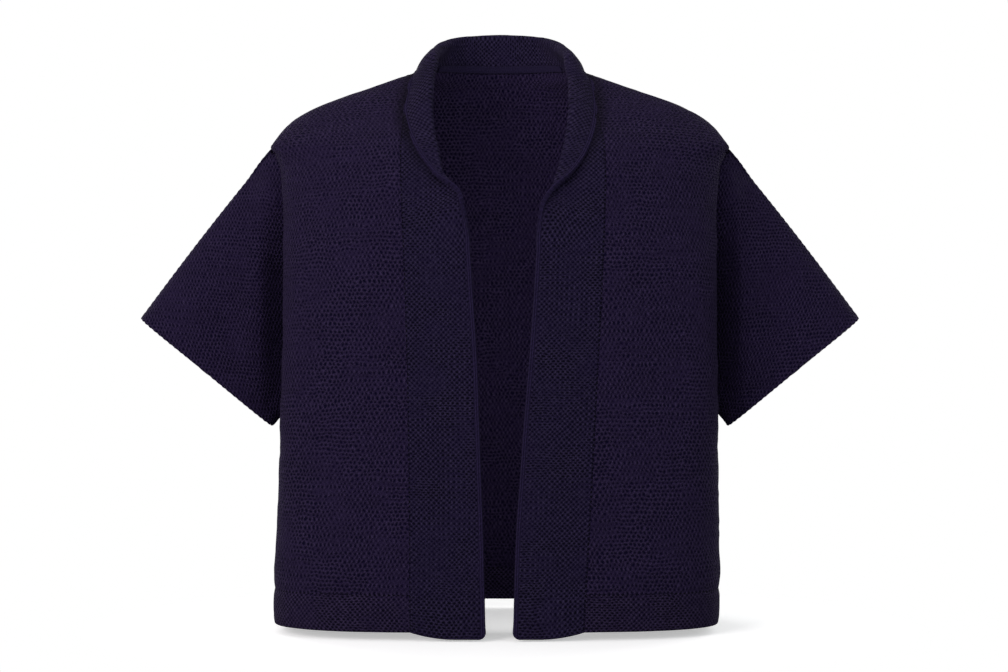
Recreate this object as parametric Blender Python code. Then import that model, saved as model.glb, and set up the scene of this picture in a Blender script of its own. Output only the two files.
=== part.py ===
"""Open-front cardigan with a shawl collar and short drop-shoulder sleeves.

The garment is filled out as if worn on a general figure, with no wearer in it. Each knitted piece is
a thin closed wall of its own. The origin is the wearer's neck base, midway between the two neck
points of the shoulder seams. +X is the wearer's left, -Y the front and +Z up. Sizes are in metres.
"""

import bmesh
import bpy
import numpy as np

# Walls and seams
PANEL_WALL = 0.0030
BAND_WALL = 0.0036
TAPE_WALL = 0.0016
SEAM_GAP = 0.0003

# Shoulder line, from the neck point to the top of the armhole
NECK_POINT_X = 0.0870
NECK_POINT_Z = 0.0069
SHOULDER_FOLD_X = 0.2382
SHOULDER_END_X = 0.2402
SHOULDER_END_Z = -0.0740
BACK_NECK_Z = 0.0150

# Levels of the hem bands, how far from its seam a band's end eases down, and its corner's radius
FRONT_HEM_LINE_Z = -0.5288
BACK_HEM_LINE_Z = -0.5310
SIDE_HEM_LINE_Z = -0.5340
FRONT_HEM_Z = -0.5668
BACK_HEM_Z = -0.5665
SIDE_HEM_Z = -0.5690
BAND_END_Z = -0.5738
BAND_EASE = 0.0450
BAND_CORNER = 0.0070

# Sleeve edge, seen from the front as a straight line from its tip down to its lowest corner
CUFF_TIP_X = 0.3787
CUFF_TIP_Z = -0.2520
CUFF_CORNER_X = 0.2400
CUFF_CORNER_Z = -0.3660
CUFF_CENTRE_Y = 0.0120
CUFF_HALF_DEPTH = 0.0340
CUFF_SQUARENESS = 2.5
CUFF_TAPER = 0.30
CUFF_ARCH = 0.0018

# How far the top of a sleeve arches outward between the shoulder and the tip
SLEEVE_ARCH = 0.0018

# Hollow of the sleeve beside the body: its reach from the armhole, how much that changes toward
# the top line, and the share of it that stays deep
SLEEVE_CREASE = 0.0440
SLEEVE_CAP = -0.0150
SLEEVE_HOLLOW = 0.25

# A point inside the body, from which every panel faces outward
BODY_CENTRE = (0.0, 0.0, -0.3000)

# Neck tape, measured across the collar stand from the neck seam
TAPE_START = 0.0009
TAPE_WIDTH = 0.0078
TAPE_COLUMNS = 5
TAPE_GAP = 0.0005

# How far down a panel its columns hang straight, at the neck and at the armhole, as shares
HANG_AT_NECK = 0.304
HANG_AT_ARMHOLE = 0.004

# Least cosine between a shared edge and a wall's own normal, and the angle that stays a sharp edge
LEAST_LEAN = 0.62
SHARP_ANGLE = 50.0

# Sampling: shares across a panel (0 neck or band seam, 1 armhole) and down it (0 shoulder, 1 hem line)
FOLD_SHARE = 0.70
NECK_COLUMNS = 8
MAIN_COLUMNS = 7
TUCK_COLUMNS = 3
ARMHOLE_ROWS = 14
ROW_SHARES = (0, 0.010, 0.026, 0.050, 0.083, 0.122, 0.165, 0.215, 0.27, 0.33, 0.39, 0.445, 0.495, 0.530,
              0.5522, 0.61, 0.69, 0.78, 0.89, 1)
HEM_SHARES = (0, 0.55, 1)
SLEEVE_SHARES = (0, 0.12, 0.26, 0.42, 0.60, 0.80, 1)

# Horizontal sections of the body. The tuck draws the side in behind the fold of each panel.
RINGS = (
    ("height", "half_width", "front_depth", "back_depth", "front_square", "back_square",
     "front_fold_y", "back_fold_y", "tuck", "lean"),
    (0.0300, 0.0790, 0.0200, 0.0790, 2.0, 2.2, 0.000, 0.000, 0.000, 0.0000),
    (0.0173, 0.0825, 0.0230, 0.0830, 2.0, 2.2, 0.000, 0.000, 0.000, 0.0000),
    (0.0069, 0.0870, 0.0260, 0.0860, 2.0, 2.2, 0.000, 0.000, 0.000, 0.0000),
    (0.0000, 0.1055, 0.0290, 0.0885, 2.0, 2.2, 0.000, 0.000, 0.000, 0.0000),
    (-0.0127, 0.1418, 0.0355, 0.0925, 2.0, 2.2, 0.000, 0.000, 0.000, 0.0000),
    (-0.0232, 0.1722, 0.0430, 0.0960, 2.0, 2.2, 0.000, 0.000, 0.000, 0.0000),
    (-0.0337, 0.1974, 0.0515, 0.0990, 2.0, 2.2, 0.000, 0.000, 0.000, 0.0000),
    (-0.0442, 0.2153, 0.0605, 0.1020, 2.0, 2.2, 0.000, 0.000, 0.000, 0.0000),
    (-0.0547, 0.2268, 0.0700, 0.1050, 2.0, 2.2, 0.000, 0.000, 0.000, 0.0000),
    (-0.0652, 0.2342, 0.0785, 0.1075, 2.1, 2.3, 0.000, 0.000, 0.000, 0.0000),
    (-0.0740, 0.2402, 0.0850, 0.1095, 2.1, 2.3, 0.000, 0.000, 0.000, 0.0000),
    (-0.0790, 0.2368, 0.0885, 0.1105, 2.2, 2.4, -0.006, 0.006, 0.0002, 0.0000),
    (-0.0860, 0.2320, 0.0925, 0.1120, 2.2, 2.4, -0.012, 0.012, 0.0010, 0.0000),
    (-0.0970, 0.2278, 0.0970, 0.1135, 2.3, 2.5, -0.019, 0.020, 0.0030, 0.0000),
    (-0.1150, 0.2255, 0.1020, 0.1155, 2.4, 2.6, -0.027, 0.031, 0.0080, 0.0000),
    (-0.1500, 0.2242, 0.1055, 0.1180, 2.6, 2.7, -0.034, 0.052, 0.0140, 0.0000),
    (-0.2000, 0.2237, 0.1070, 0.1205, 2.8, 2.8, -0.036, 0.067, 0.0170, 0.0000),
    (-0.3000, 0.2239, 0.1070, 0.1245, 3.0, 3.0, -0.036, 0.070, 0.0175, -0.0002),
    (-0.3400, 0.2239, 0.1068, 0.1270, 3.0, 3.0, -0.033, 0.060, 0.0140, -0.0006),
    (-0.3800, 0.2248, 0.1065, 0.1300, 3.0, 3.0, -0.028, 0.045, 0.0080, -0.0010),
    (-0.4300, 0.2266, 0.1060, 0.1340, 3.0, 3.0, -0.022, 0.026, 0.0030, -0.0015),
    (-0.4740, 0.2286, 0.1055, 0.1380, 3.0, 3.0, -0.016, 0.012, 0.0000, -0.0021),
    (-0.5340, 0.2303, 0.1055, 0.1425, 3.0, 3.0, -0.010, 0.004, 0.0000, -0.0033),
    (-0.5580, 0.2306, 0.1050, 0.1445, 3.0, 3.0, -0.008, 0.002, 0.0000, -0.0036),
    (-0.5740, 0.2282, 0.1035, 0.1440, 3.0, 3.0, -0.008, 0.002, 0.0000, -0.0034),
)

# How closely the folds keep to the sides: near the shoulder they leave the middle of a panel alone
FOLD_REACH = (
    ("height", "power"),
    (-0.0740, 3.0),
    (-0.0970, 2.5),
    (-0.1150, 2.2),
    (-0.1500, 1.6),
    (-0.2000, 1.0),
)

# Armhole seam: how far each panel reaches round the side, as a share of the way to the side seam
ARMHOLE = (
    ("height", "front_share", "back_share"),
    (-0.0740, 0.30, 0.30),
    (-0.0790, 0.19, 0.19),
    (-0.0860, 0.12, 0.12),
    (-0.0970, 0.20, 0.16),
    (-0.1150, 0.39, 0.24),
    (-0.1500, 0.62, 0.32),
    (-0.2000, 0.76, 0.40),
    (-0.2500, 0.83, 0.46),
    (-0.2900, 0.88, 0.58),
    (-0.3150, 0.94, 0.76),
    (-0.3280, 1.00, 1.00),
)

# Seam between each front and its band, and the free edge of each band, as distances from the middle
BAND_SEAM = (
    ("height", "left", "right"),
    (0.0069, 0.0870, 0.0870),
    (-0.0166, 0.0930, 0.0940),
    (-0.0397, 0.0977, 0.0995),
    (-0.0622, 0.0997, 0.1035),
    (-0.0838, 0.1005, 0.1062),
    (-0.1099, 0.0998, 0.1066),
    (-0.1354, 0.0985, 0.1059),
    (-0.3347, 0.0913, 0.0970),
    (-0.5740, 0.0860, 0.0876),
)
BAND_EDGE = (
    ("height", "left", "right"),
    (-0.1200, 0.0370, 0.0440),
    (-0.1404, 0.0345, 0.0410),
    (-0.1755, 0.0300, 0.0370),
    (-0.2352, 0.0260, 0.0333),
    (-0.2949, 0.0222, 0.0290),
    (-0.3546, 0.0200, 0.0240),
    (-0.4143, 0.0180, 0.0198),
    (-0.4739, 0.0160, 0.0158),
    (-0.5336, 0.0148, 0.0140),
    (-0.5740, 0.0140, 0.0130),
)

# Collar, by distance along the neck seam from the centre back: where the stand ends, on each side,
# then the roll's radius and turn and the width of the fall beyond it
COLLAR = (
    ("girth", "left", "right", "depth_y", "height", "roll_radius", "roll_turn", "fall_left", "fall_right"),
    (0.000, 0.0000, 0.0000, 0.0805, 0.0520, 0.0045, 168.0, 0.0360, 0.0360),
    (0.045, 0.0385, 0.0385, 0.0735, 0.0490, 0.0045, 168.0, 0.0345, 0.0345),
    (0.080, 0.0555, 0.0555, 0.0530, 0.0395, 0.0045, 178.0, 0.0325, 0.0325),
    (0.105, 0.0635, 0.0640, 0.0290, 0.0288, 0.0045, 181.0, 0.0310, 0.0310),
    (0.133, 0.0680, 0.0695, 0.0035, 0.0190, 0.0045, 186.0, 0.0285, 0.0285),
    (0.150, 0.0710, 0.0725, -0.0100, 0.0050, 0.0045, 188.0, 0.0265, 0.0280),
    (0.170, 0.0732, 0.0752, -0.0210, -0.0080, 0.0043, 188.0, 0.0275, 0.0284),
    (0.200, 0.0739, 0.0759, -0.0430, -0.0345, 0.0040, 186.0, 0.0267, 0.0258),
    (0.230, 0.0716, 0.0734, -0.0620, -0.0610, 0.0036, 183.0, 0.0234, 0.0242),
    (0.256, 0.0665, 0.0688, -0.0770, -0.0850, 0.0034, 176.0, 0.0185, 0.0213),
    (0.284, 0.0604, 0.0622, -0.0890, -0.1070, 0.0034, 160.0, 0.0080, 0.0133),
    (0.310, 0.0448, 0.0539, -0.0975, -0.1270, 0.0038, 120.0, 0.0030, 0.0040),
    (0.335, 0.0400, 0.0455, -0.1030, -0.1440, 0.0040, 60.0, 0.0005, 0.0010),
    (0.360, 0.0360, 0.0420, -0.1040, -0.1650, 0.0040, 0.0, 0.0000, 0.0000),
)
COLLAR_END = 0.325
BAND_START = 0.360

# Columns across the collar strip: shares of its width where it lies flat, and where it is rolled
# its place on the stand (0 to 1), on the roll (1 to 2) and on the fall (2 to 3)
STRIP_COLUMNS = (
    ("flat", "rolled"),
    (0.00, 0.00),
    (0.16, 0.34),
    (0.32, 0.68),
    (0.48, 1.00),
    (0.62, 1.33),
    (0.74, 1.67),
    (0.84, 2.00),
    (0.93, 2.50),
    (1.00, 3.00),
)
LEAST_ROLLED_FALL = 0.004

YARN_COLOUR = (0.0135, 0.0090, 0.0235, 1.0)
BAND_COLOUR = (0.0120, 0.0088, 0.0220, 1.0)
YARN_ROUGHNESS = 0.92


def smooth_step(share):
    share = np.clip(share, 0, 1)
    return share * share * (3 - 2 * share)


def unit(vectors):
    return vectors / np.maximum(np.linalg.norm(vectors, axis=-1, keepdims=True), 1e-12)


def look_up(table, name, at):
    """A column of a table at given values of its first column, along a curve that never overshoots."""
    rows = np.array(table[1:], float)
    rows = rows[np.argsort(rows[:, 0])]
    keys, values = rows[:, 0], rows[:, table[0].index(name)]
    steps, rises = np.diff(keys), np.diff(values)
    slopes = rises / steps
    before, after = slopes[:-1], slopes[1:]
    same_way = before * after > 0
    mean = np.where(same_way, 2 * before * after / np.where(same_way, before + after, 1), 0)
    tangents = np.concatenate([slopes[:1], mean, slopes[-1:]])
    at = np.clip(at, keys[0], keys[-1])
    index = np.clip(np.searchsorted(keys, at) - 1, 0, len(steps) - 1)
    step = steps[index]
    share = (at - keys[index]) / step
    rest = 1 - share
    start = values[index] * (1 + 2 * share) * rest ** 2 + tangents[index] * step * share * rest ** 2
    end = values[index + 1] * (3 - 2 * share) * share ** 2 - tangents[index + 1] * step * rest * share ** 2
    return start + end


def ring_points(face, turn, height):
    """Points of the body on the +X side. The turn runs 0 at the middle, 1 at the fold, 2 at the side."""
    names = ("front_depth", "front_square") if face < 0 else ("back_depth", "back_square")
    half_width = look_up(RINGS, "half_width", height)
    depth, square = (look_up(RINGS, name, height) for name in names)
    folds = look_up(RINGS, "front_fold_y", height), look_up(RINGS, "back_fold_y", height)
    fold = folds[0] if face < 0 else folds[1]
    main = np.clip(turn, 0, 1) * np.pi / 2
    past = np.clip(turn - 1, 0, 1)
    x = half_width * np.sin(main) ** (2 / square) - look_up(RINGS, "tuck", height) * smooth_step(past)
    across = np.where(turn >= 1, 0, np.cos(main)) ** (2 / square)
    y = face * depth * across + fold * (1 - across) ** look_up(FOLD_REACH, "power", height)
    y = y + (sum(folds) / 2 - fold) * past
    return np.stack([x, y, height + 0 * x], axis=-1)


def turn_of(face, x, height):
    """The turn at which a ring reaches a distance x from the middle."""
    square = look_up(RINGS, "front_square" if face < 0 else "back_square", height)
    share = np.clip(x / look_up(RINGS, "half_width", height), 0, 1)
    return np.arcsin(share ** (square / 2)) * 2 / np.pi


def shoulder_height(x):
    """Height of the shoulder line at a distance x from the middle."""
    rings = np.array(RINGS[1:], float)
    ridge = rings[(rings[:, 0] <= NECK_POINT_Z) & (rings[:, 0] >= SHOULDER_END_Z)]
    table = (("x", "height"),) + tuple((row[1], row[0]) for row in ridge)
    return look_up(table, "height", x)


def top_edge(across):
    """Distance from the middle and height of a panel's top edge: neckline, then shoulder line."""
    toward_fold = np.sin(np.clip(across / FOLD_SHARE, 0, 1) * np.pi / 2)
    out_to_fold = NECK_POINT_X + (SHOULDER_FOLD_X - NECK_POINT_X) * toward_fold
    past_fold = (across - FOLD_SHARE) / (1 - FOLD_SHARE)
    to_end = SHOULDER_FOLD_X + (SHOULDER_END_X - SHOULDER_FOLD_X) * past_fold
    x = np.where(across < FOLD_SHARE, out_to_fold, to_end)
    neckline = BACK_NECK_Z - (BACK_NECK_Z - NECK_POINT_Z) * (1 + np.minimum(across, 0)) ** 3
    return x, np.where(across < 0, neckline, shoulder_height(x))


def panel_points(face, side, across, down):
    """Outer points of a front (face -1) or of half the back (face 1), on one side of the middle.

    Across runs from the band seam at 0, or the centre back at -1, to the armhole and side seam at 1.
    """
    across, down = np.meshgrid(across, down)
    top_z = top_edge(across)[1]
    middle_line = FRONT_HEM_LINE_Z if face < 0 else BACK_HEM_LINE_Z
    reach = np.clip(across, 0, 1)
    bottom_z = middle_line + (SIDE_HEM_LINE_Z - middle_line) * reach ** 2
    height = top_z + (bottom_z - top_z) * down
    return placed(side, ring_points(face, panel_turn(face, side, across, down, height), height))


def panel_turn(face, side, across, down, height):
    """Near the shoulder the columns hang straight down, and lower they share out the ring."""
    top_x = top_edge(across)[0]
    toward_fold = np.clip(across / FOLD_SHARE, 0, 1)
    if face < 0:
        seam_x = look_up(BAND_SEAM, "left" if side < 0 else "right", height)
        hanging_x = top_x + (seam_x - NECK_POINT_X) * (1 - toward_fold)
        first_turn = turn_of(face, seam_x, height)
    else:
        hanging_x = top_x
        first_turn = turn_of(face, NECK_POINT_X, height) * (1 + np.minimum(across, 0))
    share = look_up(ARMHOLE, "front_share" if face < 0 else "back_share", height)
    past_fold = np.clip((across - FOLD_SHARE) / (1 - FOLD_SHARE), 0, 1)
    shared_out = first_turn + (1 - first_turn) * toward_fold + share * past_fold
    hanging = np.where(down > 0, turn_of(face, hanging_x, height), 1)
    hanging = np.where(across < 0, first_turn, hanging)
    toward_neck = 1 - np.clip(across, 0, 1)
    weight = smooth_step(down / (HANG_AT_ARMHOLE + (HANG_AT_NECK - HANG_AT_ARMHOLE) * toward_neck))
    return hanging + (shared_out - hanging) * weight


def hem_points(face, side, across, down):
    """Outer points of a hem band, from the hem line at 0 to the hem at 1."""
    across, down = np.meshgrid(across, down)
    reach = np.clip(across, 0, 1) ** 2
    ends = (FRONT_HEM_LINE_Z, FRONT_HEM_Z) if face < 0 else (BACK_HEM_LINE_Z, BACK_HEM_Z)
    top = ends[0] + (SIDE_HEM_LINE_Z - ends[0]) * reach
    bottom = ends[1] + (SIDE_HEM_Z - ends[1]) * reach
    height = top + (bottom - top) * down
    return placed(side, ring_points(face, panel_turn(face, side, across, 1 + 0 * down, height), height))


def placed(side, points):
    """Turns points of the +X side into those of either side, leaning as the garment hangs."""
    points = points.copy()
    points[..., 0] = side * points[..., 0] + look_up(RINGS, "lean", points[..., 2])
    return points


def sheet_normals(points, closed=False):
    """Unit normals of a grid of points, the way that a front's columns and rows make them."""
    if closed:
        around = np.roll(points, -1, axis=1) - np.roll(points, 1, axis=1)
    else:
        around = np.gradient(points, axis=1)
    return unit(np.cross(around, np.gradient(points, axis=0)))


def facing_out(points, normals):
    """Unit normals turned away from the middle of the body, also where cells fold at the shoulder."""
    outward = np.sum(normals * (points - BODY_CENTRE), axis=-1, keepdims=True)
    return normals * np.where(outward < 0, -1, 1)


def along_share(points):
    """Share of the length of a run of points at each of them."""
    lengths = np.concatenate([[0], np.cumsum(np.linalg.norm(np.diff(points, axis=0), axis=1))])
    return lengths / lengths[-1]


def cuff_points(face, side, share):
    """Points of the sleeve's edge. The share runs from the tip at 0 to the lowest corner at 1."""
    angle = np.pi * share
    bulge = 2 / CUFF_SQUARENESS
    cosine = np.sign(np.cos(angle)) * np.abs(np.cos(angle)) ** bulge
    along = (1 - cosine) / 2
    depth = CUFF_HALF_DEPTH * np.sin(np.clip(angle, 0, np.pi)) ** bulge * (1 - CUFF_TAPER * share)
    x = CUFF_TIP_X + (CUFF_CORNER_X - CUFF_TIP_X) * along
    z = CUFF_TIP_Z + (CUFF_CORNER_Z - CUFF_TIP_Z) * along + CUFF_ARCH * np.sin(np.pi * along)
    return np.stack([side * x, CUFF_CENTRE_Y + face * depth, z], axis=-1)


def sleeve_points(side, front_seam, back_seam, down):
    """A sleeve from its armhole seam at 0 to its edge at 1, round the front, underarm and back."""
    front_share, back_share = along_share(front_seam), along_share(back_seam)
    seam = np.concatenate([front_seam, back_seam[-2:0:-1]])
    seam[0] = (front_seam[0] + back_seam[0]) / 2
    edge = np.concatenate([cuff_points(-1, side, front_share), cuff_points(1, side, back_share[-2:0:-1])])
    down = np.asarray(down, float)[:, None, None]
    points = seam + (edge - seam) * down
    run = np.maximum(np.abs(edge[:, :1] - seam[:, :1]), 1e-6)
    top = np.concatenate([1 - front_share, 1 - back_share[-2:0:-1]])[:, None] ** 4
    crease = SLEEVE_CREASE + SLEEVE_CAP * top
    into_crease = np.clip(down / np.minimum(1, crease / run), 0, 1)
    swell = smooth_step((into_crease - SLEEVE_HOLLOW) / (1 - SLEEVE_HOLLOW))
    points[..., 1] = (seam + (edge - seam) * swell)[..., 1]
    line = edge[0] - seam[0]
    upward = unit(np.array([-side * line[2], 0, abs(line[0])]))
    points = points + SLEEVE_ARCH * np.sin(np.pi * down) * top * upward
    return points


def collar_frame(side, seam):
    """Stand ends, directions and sizes of the collar strip at each point of its seam."""
    girth = np.concatenate([[0], np.cumsum(np.linalg.norm(np.diff(seam, axis=0), axis=1))])
    hand = "left" if side < 0 else "right"
    turned = np.stack([side * look_up(COLLAR, hand, girth), look_up(COLLAR, "depth_y", girth),
                       look_up(COLLAR, "height", girth)], axis=-1)
    level = seam[:, 2]
    edge_x = look_up(BAND_EDGE, hand, level)
    flat = placed(side, ring_points(-1, turn_of(-1, edge_x, level), level))
    flat[:, 0] = side * edge_x
    flat[:, 1] += PANEL_WALL / 2
    into_band = smooth_step((girth - COLLAR_END) / (BAND_START - COLLAR_END))[:, None]
    crest = turned + (flat - turned) * into_band
    sizes = [look_up(COLLAR, name, girth)[:, None] for name in ("roll_radius", "roll_turn", "fall_" + hand)]
    return crest, sizes[0], np.radians(sizes[1]), sizes[2]


def collar_points(side, seam):
    """Middle surface of a collar and band half: stand, roll and fall, flattening into the front band."""
    crest, radius, turn, fall = collar_frame(side, seam)
    stand = np.linalg.norm(crest - seam, axis=1)[:, None]
    rise = unit(crest - seam)
    outward = side * unit(np.cross(rise, np.gradient(crest, axis=0)))
    outward[0] = unit(outward[0] * [0, 1, 1])
    whole = stand + radius * turn + fall
    flat, rolled = np.array(STRIP_COLUMNS[1:], float).T
    stops = np.concatenate([0 * stand, stand, stand + radius * turn, whole], axis=1)
    shaped = np.stack([np.interp(rolled, range(4), row) for row in stops])
    length = flat * whole + (shaped - flat * whole) * smooth_step(fall / LEAST_ROLLED_FALL)
    length, stand, radius, turn = (item[..., None] for item in (length, stand, radius, turn))
    rise, outward = rise[:, None], outward[:, None]
    angle = np.clip((length - stand) / radius, 0, turn)
    rest = np.maximum(length - stand - radius * turn, 0)
    points = seam[:, None] + rise * np.minimum(length, stand)
    points = points + radius * (np.sin(angle) * rise + (1 - np.cos(angle)) * outward)
    return points + rest * (np.cos(turn) * rise + np.sin(turn) * outward)


def wall_object(name, outer, inner, closed, colour):
    """A closed wall between two grids of points: a grid is laid on one and extruded onto the other."""
    rows, columns = outer.shape[:2]
    mesh = bmesh.new()
    cells = columns if closed else columns - 1
    bmesh.ops.create_grid(mesh, x_segments=cells, y_segments=rows - 1, size=0.5)
    places = {vert: (round((vert.co.y + 0.5) * (rows - 1)), round((vert.co.x + 0.5) * cells))
              for vert in mesh.verts}
    for vert, (row, column) in places.items():
        vert.co = outer[row, column % columns]
    if closed:
        first = {row: vert for vert, (row, column) in places.items() if column == 0}
        last = {vert: first[row] for vert, (row, column) in places.items() if column == cells}
        bmesh.ops.weld_verts(mesh, targetmap=last)
        places = {vert: place for vert, place in places.items() if vert.is_valid}
    by_place = {place: vert for vert, place in places.items()}
    where = {tuple(vert.co): place for place, vert in by_place.items()}
    extruded = bmesh.ops.extrude_face_region(mesh, geom=mesh.faces[:])
    for vert in (item for item in extruded["geom"] if isinstance(item, bmesh.types.BMVert)):
        row, column = where[tuple(vert.co)]
        vert.co = inner[row, column % columns]
    bmesh.ops.triangulate(mesh, faces=mesh.faces[:], quad_method="SHORT_EDGE")
    bmesh.ops.recalc_face_normals(mesh, faces=mesh.faces[:])
    data = bpy.data.meshes.new(name)
    mesh.to_mesh(data)
    mesh.free()
    data.shade_smooth()
    data.set_sharp_from_angle(angle=np.radians(SHARP_ANGLE))
    piece = bpy.data.objects.new(name, data)
    piece.data.materials.append(material_of(colour[0], colour[1]))
    bpy.context.scene.collection.objects.link(piece)


def material_of(name, colour):
    material = bpy.data.materials.get(name)
    if material is None:
        material = bpy.data.materials.new(name)
        material.use_nodes = True
        shader = material.node_tree.nodes["Principled BSDF"]
        shader.inputs["Base Color"].default_value = colour
        shader.inputs["Roughness"].default_value = YARN_ROUGHNESS
        shader.inputs["Metallic"].default_value = 0.0
    return material


YARN = ("knit_body", YARN_COLOUR)
FINE = ("knit_band", BAND_COLOUR)


def mitre(normals, own, wall):
    """Inward step of a wall whose edge is cut along shared normals, kept to its true thickness."""
    lean = np.clip(np.sum(normals * own, axis=-1, keepdims=True), LEAST_LEAN, 1)
    return normals * wall / lean


def shared_edge(one, other):
    return unit(one + other)


def seam_shift(points, normals, toward):
    """A seam gap at each point of an edge, square to its line and its normal, toward a neighbour."""
    line = np.gradient(points, axis=0)
    step = unit(np.cross(line, normals))
    facing = np.sign(np.sum(step * toward, axis=-1, keepdims=True))
    return step * facing * SEAM_GAP


def build_side(side):
    """All pieces of one side: the front, its hem band, the sleeve and the collar half, and back data."""
    hand = "left" if side < 0 else "right"
    front_across = np.concatenate([np.linspace(0, FOLD_SHARE, MAIN_COLUMNS + 1),
                                   np.linspace(FOLD_SHARE, 1, TUCK_COLUMNS + 1)[1:]])
    back_across = np.concatenate([np.linspace(-1, 0, NECK_COLUMNS + 1)[:-1], front_across])
    front = np.concatenate([panel_points(-1, side, front_across, ROW_SHARES),
                            hem_points(-1, side, front_across, HEM_SHARES)[1:]])
    back = np.concatenate([panel_points(1, side, back_across, ROW_SHARES),
                           hem_points(1, side, back_across, HEM_SHARES)[1:]])
    front_normals = facing_out(front, sheet_normals(front))
    back_normals = facing_out(back, sheet_normals(back))
    rows = len(ROW_SHARES)

    ridge = shared_edge(front_normals[0], back_normals[0, NECK_COLUMNS:])
    front_normals[0] = back_normals[0, NECK_COLUMNS:] = ridge
    below = slice(ARMHOLE_ROWS, None)
    side_seam = shared_edge(front_normals[below, -1], back_normals[below, -1])
    front_normals[below, -1] = back_normals[below, -1] = side_seam

    armhole = slice(0, ARMHOLE_ROWS + 1)
    sleeve = sleeve_points(side, front[armhole, -1], back[armhole, -1], SLEEVE_SHARES)
    sleeve_normals = side * sheet_normals(sleeve, closed=True)
    own_panel = np.concatenate([front_normals[armhole, -1], back_normals[armhole, -1][-2:0:-1]])
    seam_normals = shared_edge(own_panel, sleeve_normals[0])

    neck = back[0, :NECK_COLUMNS]
    seam_line = np.concatenate([neck, front[:, 0]])
    panel_edge = np.concatenate([back_normals[0, :NECK_COLUMNS], front_normals[:, 0]])
    middle_line = seam_line - panel_edge * PANEL_WALL / 2
    strip = collar_points(side, middle_line)
    shape_band_end(strip)
    strip_normals = side * sheet_normals(strip)
    strip_edge = shared_edge(strip_normals[:, 0], panel_edge)
    strip_normals[:, 0] = strip_edge
    strip_normals[0] = unit(strip_normals[0] * [0, 1, 1])
    neckline = slice(0, NECK_COLUMNS + 1)
    own_back, own_front = back_normals[0, neckline].copy(), front_normals[:, 0].copy()
    back_normals[0, neckline] = strip_edge[neckline]
    front_normals[:, 0] = strip_edge[NECK_COLUMNS:]

    front_step = front_normals * PANEL_WALL
    back_step = back_normals * PANEL_WALL
    front_step[:, 0] = mitre(front_normals[:, 0], own_front, PANEL_WALL)
    back_step[0, neckline] = mitre(back_normals[0, neckline], own_back, PANEL_WALL)
    sleeve_step = sleeve_normals * PANEL_WALL
    sleeve_step[0] = mitre(seam_normals, sleeve_normals[0], PANEL_WALL)
    front_step[armhole, -1] = sleeve_step[0, :ARMHOLE_ROWS + 1]
    back_loop = np.concatenate([sleeve_step[0, :1], sleeve_step[0, :ARMHOLE_ROWS - 1:-1]])
    back_step[armhole, -1] = back_loop

    gap = np.array([0, SEAM_GAP / 2, 0])
    wall_object(f"front_{hand}", front[:rows] - gap, (front - front_step)[:rows] - gap, False, YARN)
    drop = np.array([0, 0, -SEAM_GAP])
    hem_outer, hem_inner = front[rows - 1:] - gap, (front - front_step)[rows - 1:] - gap
    hem_outer[0] += drop
    hem_inner[0] += drop
    wall_object(f"hem_band_front_{hand}", hem_outer, hem_inner, False, FINE)

    away = sleeve[1] - sleeve[0]
    closing = np.concatenate([sleeve[0][-1:], sleeve[0], sleeve[0][:1]])
    shift = seam_shift(closing, np.concatenate([seam_normals[-1:], seam_normals, seam_normals[:1]]),
                       np.concatenate([away[-1:], away, away[:1]]))[1:-1]
    shift[1:ARMHOLE_ROWS] -= gap
    shift[ARMHOLE_ROWS + 1:] += gap
    sleeve_outer, sleeve_inner = sleeve.copy(), sleeve - sleeve_step
    sleeve_outer[0] += shift
    sleeve_inner[0] += shift
    wall_object(f"sleeve_{hand}", sleeve_outer, sleeve_inner, True, YARN)

    shift = seam_shift(seam_line, strip_edge, strip[:, 1] - strip[:, 0])
    strip[:, 0] += shift
    half = strip_normals * BAND_WALL / 2
    apart = np.array([side * SEAM_GAP / 2, 0, 0])
    strip_outer, strip_inner = strip + half, strip - half
    strip_outer[0] += apart
    strip_inner[0] += apart
    wall_object(f"collar_band_{hand}", strip_outer, strip_inner, False, FINE)
    return back, back - back_step, strip_inner, strip_normals


def shape_band_end(strip):
    """Lets a band's end down below the hem, away from its seam, and rounds its corner at the free edge."""
    reach = np.linalg.norm(strip[-1] - strip[-1, :1], axis=-1)
    ease = np.clip(reach / BAND_EASE, 0, 1)
    corner = np.clip(1 - (reach[-1] - reach) / BAND_CORNER, 0, 1)
    strip[-1, :, 2] += (BAND_END_Z - FRONT_HEM_Z) * ease * (2 - ease)
    strip[-1, :, 2] += BAND_CORNER * (1 - np.sqrt(1 - corner ** 2))


def build_back(left, right):
    """The back and its hem band, each one piece from side to side."""
    rows = len(ROW_SHARES)
    gap = np.array([0, SEAM_GAP / 2, 0])
    outer = np.concatenate([left[0][:, ::-1], right[0][:, 1:]], axis=1) + gap
    inner = np.concatenate([left[1][:, ::-1], right[1][:, 1:]], axis=1) + gap
    middle = left[0].shape[1] - 1
    inner[:, middle, 0] = outer[:, middle, 0]
    wall_object("back", outer[:rows], inner[:rows], False, YARN)
    hem_outer, hem_inner = outer[rows - 1:].copy(), inner[rows - 1:].copy()
    hem_outer[0, :, 2] -= SEAM_GAP
    hem_inner[0, :, 2] -= SEAM_GAP
    wall_object("hem_band_back", hem_outer, hem_inner, False, FINE)


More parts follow.
